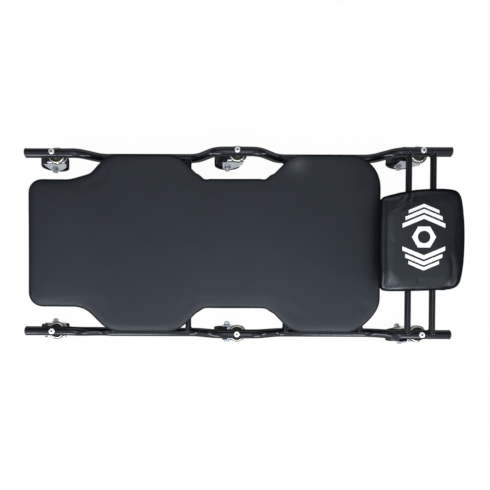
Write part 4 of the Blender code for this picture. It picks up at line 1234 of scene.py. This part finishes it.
def wheel_mesh():
    """A moulded wheel about Z: crowned tread, deep rim, ribbed web and a wide hub."""
    hub_edge = WHEEL_HUB_R - WHEEL_HUB_ROUND
    fillet_z = WHEEL_WEB_HALF_W + WHEEL_FILLET
    half = [(AXLE_R + PLAY, WHEEL_HUB_HALF_W), (hub_edge, WHEEL_HUB_HALF_W)]
    half += arc((hub_edge, WHEEL_HUB_HALF_W - WHEEL_HUB_ROUND), WHEEL_HUB_ROUND, 75.0, 10.0, 3)
    half += [(WHEEL_HUB_R + WHEEL_HUB_DRAFT, WHEEL_WEB_HALF_W + 0.0014)]
    half += arc((WHEEL_HUB_R + 0.0018, fillet_z), WHEEL_FILLET, 190.0, 268.0, 3)
    web = WHEEL_RIM_R - WHEEL_HUB_R - 0.0056
    half += [(WHEEL_HUB_R + 0.0030 + web * k / 6, WHEEL_WEB_HALF_W) for k in range(7)]
    half += arc((WHEEL_RIM_R - 0.0014, fillet_z), WHEEL_FILLET, 275.0, 350.0, 3)
    half += [(WHEEL_RIM_R, WHEEL_HALF_W - WHEEL_RIM_CHAMFER), (WHEEL_RIM_R + WHEEL_RIM_CHAMFER, WHEEL_HALF_W)]
    half += arc((WHEEL_R - 0.0032, WHEEL_HALF_W - WHEEL_SHOULDER), WHEEL_SHOULDER, 88.0, 6.0, 6)
    half += [(WHEEL_R + past, height) for past, height in WHEEL_TREAD]
    profile = half + [(r, -h) for r, h in reversed(half[:-1])]
    profile.append(profile[0])

    def ribs(angle, radius, height):
        on_web = WHEEL_HUB_R + 0.001 < radius < WHEEL_RIM_R - 0.0008
        if not on_web or abs(height) > WHEEL_WEB_HALF_W + 0.002:
            return 0.0
        pitch = 2.0 * math.pi / WHEEL_RIBS
        off = abs((angle + 0.5 * pitch) % pitch - 0.5 * pitch) * radius
        rise = 1.0 - min(1.0, max(0.0, (off - WHEEL_RIB_HALF_W) / WHEEL_RIB_FLANK))
        return math.copysign(WHEEL_RIB_RISE * rise * rise * (3.0 - 2.0 * rise), height)

    return turned(profile, 3 * ROUND_STEPS, ribs)


def hex_mesh(base, thickness, bore):
    """A hexagon about Z from a base height, its outer corners turned off at 30 degrees."""
    top = base + thickness
    prism = turned([(0.0, top), (AXLE_HEX_R, top), (AXLE_HEX_R, base), (0.0, base)], 6)
    flat_r = AXLE_HEX_R * math.cos(math.pi / 6) - 0.0002
    reach = AXLE_HEX_R + HEX_MARGIN
    drop = (reach - flat_r) * math.tan(math.radians(30.0))
    foot = base - HEX_MARGIN
    cone = turned([(0.0, top), (flat_r, top), (reach, top - drop), (reach, foot), (0.0, foot)])
    mesh = shaped(prism, cone, "INTERSECT")
    if bore:
        hole = turned([(0.0, top + 0.01), (bore, top + 0.01), (bore, base - 0.01), (0.0, base - 0.01)])
        mesh = shaped(mesh, hole)
    return mesh


def axle_meshes():
    """The axle's head, its nut and threaded tip, and the two washers, all about Z."""
    seat = FORK_HALF_W + PLAY
    top = seat + WASHER_T
    head = hex_mesh(top, AXLE_HEX_T - WASHER_T, 0.0)
    nut = hex_mesh(top, AXLE_HEX_T - WASHER_T, AXLE_R + 0.0001)
    edge = [(WASHER_R - WASHER_EDGE, top), (WASHER_R, top - WASHER_EDGE), (WASHER_R, seat)]
    washer = turned([(AXLE_R, seat), (AXLE_R, top)] + edge + [(AXLE_R, seat)])
    tip = seat + AXLE_HEX_T + AXLE_TIP
    thread = [(0.0, tip), (AXLE_R - 0.0010, tip), (AXLE_R - 0.0002, tip - 0.0006)]
    for k in range(THREAD_TURNS):
        high = tip - 0.0008 - k * THREAD_PITCH
        thread += [(AXLE_R - THREAD_DEPTH, high - 0.25 * THREAD_PITCH), (AXLE_R, high - 0.6 * THREAD_PITCH)]
    thread += [(AXLE_R, -seat), (0.0, -seat)]
    return head, nut, washer, turned(thread)


def dress_casters():
    fork = fork_mesh()
    lower_race = lower_race_mesh()
    cap = swivel_cap_mesh()
    bolt = bolt_mesh()
    wheel = wheel_mesh()
    head, nut, washer, shank = axle_meshes()
    to_y = Matrix.Rotation(-0.5 * math.pi, 4, "X")
    flipped = Matrix.Rotation(math.pi, 4, "X")
    for place in PLACES:
        pin = KING_PIN[place]
        axle = AXLE[place]
        trail = math.atan2(axle.y - pin.y, axle.x - pin.x)
        turn = Matrix.Rotation(trail, 4, "Z")
        upright = Matrix.Translation((pin.x, pin.y, 0.0)) @ turn
        along_axle = Matrix.Translation(axle) @ turn @ to_y
        on_nut = along_axle @ flipped
        bolt_turn = Matrix.Rotation(pin.x * BOLT_TURN, 4, "Z")
        bolt_seat = Matrix.Translation((pin.x, pin.y, ARCH_Z + RAIL_R - BOLT_SINK)) @ bolt_turn
        caster = f"caster_{place}"
        roller = f"roller_{place}"
        parts = (
            # the bolt's socket takes the painted shade
            ("dressed_bolt", bolt, "frame", "bright_zinc", BOLT_ZINC, "caster_bolt", bolt_seat, SOCKET_SHADE),
            # the cap's recess takes the grease and painted shade
            ("dressed_cap", cap, "frame", "race_zinc", RACE_ZINC, "swivel_cap", upright, RACE_GREASE_AND_SHADE),
            ("dressed_fork", fork, caster, "fork_zinc", FORK_ZINC, "fork", upright, None),
            # the lower race ring is painted dark with the grease-and-shade finish, as painted shade for the
            # gap round the cap
            ("lower_race", lower_race, caster, "race_zinc", RACE_GREASE_AND_SHADE, None, upright, None),
            ("dressed_wheel", wheel, roller, "wheel_black", WHEEL, "wheel", along_axle, None),
            ("axle_head", head, caster, "bright_zinc", NUT_ZINC, "axle_bolt", along_axle, None),
            ("axle_shank", shank, caster, "bright_zinc", NUT_ZINC, None, on_nut, None),
            ("axle_nut_dressed", nut, caster, "bright_zinc", NUT_ZINC, "axle_nut", on_nut, None),
            ("head_washer", washer, caster, "bright_zinc", NUT_ZINC, None, along_axle, None),
            ("nut_washer", washer, caster, "bright_zinc", NUT_ZINC, None, on_nut, None),
        )
        for name, mesh, body, slot, material, node, matrix, second in parts:
            nodes = [f"{node}_{place}"] if node else ()
            piece(f"{name}_{place}", mesh, body, slot, material, nodes, matrix, second)


def finish_plain_nodes():
    """Materials for the CAD nodes that stay."""
    for name, node in frame["nodes"].items():
        if node.hide_render:
            continue
        material = BOARD if name.endswith("board") else BRIGHT_ZINC
        node.data.materials.clear()
        node.data.materials.append(material)


# Stage

FLOOR_REACH = 45.0
FLOOR_WHITE = (0.94, 0.94, 0.94)
FLOOR_GLOW = 0.96           # how much of the floor's white doesn't depend on the lamps
HORIZON = (0.10, 0.42)      # the white of the backdrop ends between these heights of a view's direction
LIGHT_AIM = Vector((0.0, -0.5, 0.866))   # middle of the large soft light, in front of the creeper
ROOM_STRENGTH = 0.92
ROOM_TINT = (0.95, 0.985, 1.03)
ROOM = (
    (0.00, 0.10), (0.45, 0.14), (0.56, 0.28), (0.65, 0.50),
    (0.72, 0.74), (0.79, 0.92), (0.90, 1.15), (1.00, 1.4),
)
LAMPS = (                   # name, place, what it points at, width and height, watts
    ("foot_front", (-0.62, -1.25, 0.50), (0.0, 0.0, 0.1), (0.5, 0.34), 8.2),
    ("foot_side", (-1.40, -0.60, 0.45), (0.0, 0.0, 0.1), (0.6, 0.34), 7.0),
    ("foot_corner", (-1.00, -0.92, 0.50), (-0.4, 0.2, 0.1), (0.24, 0.28), 4.0),
    ("head_front", (0.62, -1.25, 0.50), (0.0, 0.0, 0.1), (0.5, 0.34), 9.0),
    ("head_side", (1.40, -0.60, 0.45), (0.0, 0.0, 0.1), (0.6, 0.34), 9.0),
    ("front", (0.08, -0.85, 1.50), (0.3, 0.0, 0.1), (0.22, 0.26), 2.6),
    ("top", (-0.05, -0.20, 1.65), (0.0, -0.1, 0.1), (0.8, 0.5), 2.2),
    ("back", (0.1, 1.6, 1.1), (0.0, 0.0, 0.05), (2.4, 0.8), 7.0),
)


def floor():
    ends = (-FLOOR_REACH, FLOOR_REACH)
    thing = linked("floor", grid_mesh([[(x, y, 0.0) for x in ends] for y in ends]))
    finish = Finish("white_floor", FLOOR_WHITE, 0.9)
    finish.set("Specular IOR Level", 0.0)
    white = finish.add("Emission", {"Strength": 1.0})["Emission"]
    plain = finish.shader.outputs["BSDF"]
    mix = finish.add("MixShader", {0: finish.seen(FLOOR_GLOW), 1: plain, 2: white})["Shader"]
    finish.feed(finish.nodes["Material Output"].inputs["Surface"], mix)
    thing.data.materials.append(finish.material)


def world_light():
    """A dim room that brightens towards LIGHT_AIM, with a white backdrop at the horizon."""
    world = bpy.data.worlds.new("studio")
    bpy.context.scene.world = world
    tree = Tree(world)
    direction = tree.add("TexCoord")["Generated"]
    towards = tree.add("VectorMath", {0: direction, 1: LIGHT_AIM}, operation="DOT_PRODUCT")["Value"]
    room = tree.add("ValToRGB", {"Fac": towards})["Color"]
    stops = room.node.color_ramp.elements
    for position, _ in ROOM[1:-1]:
        stops.new(position)
    for stop, (position, level) in zip(stops, ROOM):
        stop.position = position
        stop.color = (*(level * tint for tint in ROOM_TINT), 1.0)
    height = tree.add("SeparateXYZ", {"Vector": direction})["Z"]
    low = tree.spread(height, *HORIZON, 1.0, 0.0, interpolation_type="SMOOTHSTEP")
    white = tree.math("MULTIPLY", tree.seen(1.0), low)
    background = tree.nodes["Background"]
    tree.feed(background.inputs["Color"], tree.mixed(white, room, (1.0, 1.0, 1.0)))
    tree.feed(background.inputs["Strength"], ROOM_STRENGTH)


def lamp(name, place, target, size, power):
    data = bpy.data.lights.new(name, "AREA")
    data.shape = "RECTANGLE"
    data.size, data.size_y = size
    data.energy = power
    thing = linked(name, data)
    thing.location = place
    aim = Vector(target) - Vector(place)
    thing.rotation_euler = aim.to_track_quat("-Z", "Y").to_euler()
    thing.visible_camera = False


def studio():
    world_light()
    floor()
    for row in LAMPS:
        lamp(*row)


# Camera above the creeper, looking down, framed on a square picture
CAMERA_PLACE = (-0.0073, -0.13013, 1.03521)
CAMERA_TURN_DEG = (-0.784, 0.035, 0.207)
CAMERA_LENS = 29.965
CAMERA_SENSOR = 36.0
CAMERA_CLIP = 0.01
CAMERA_SHIFT = (0.01957, 0.12277)


def camera():
    data = bpy.data.cameras.new("camera")
    data.lens = CAMERA_LENS
    data.sensor_width = CAMERA_SENSOR
    data.shift_x, data.shift_y = CAMERA_SHIFT
    data.clip_start = CAMERA_CLIP
    thing = linked("camera", data)
    thing.location = CAMERA_PLACE
    thing.rotation_euler = [math.radians(turn) for turn in CAMERA_TURN_DEG]
    bpy.context.scene.camera = thing


dress_frame()
dress_plugs()
headrest = dress_pads()
piece("headrest_print", print_mesh(print_shapes(), headrest), "frame", "head_vinyl", INK)
dress_boards()
dress_casters()
finish_plain_nodes()
studio()
camera()
bpy.context.scene.view_settings.view_transform = "Standard"
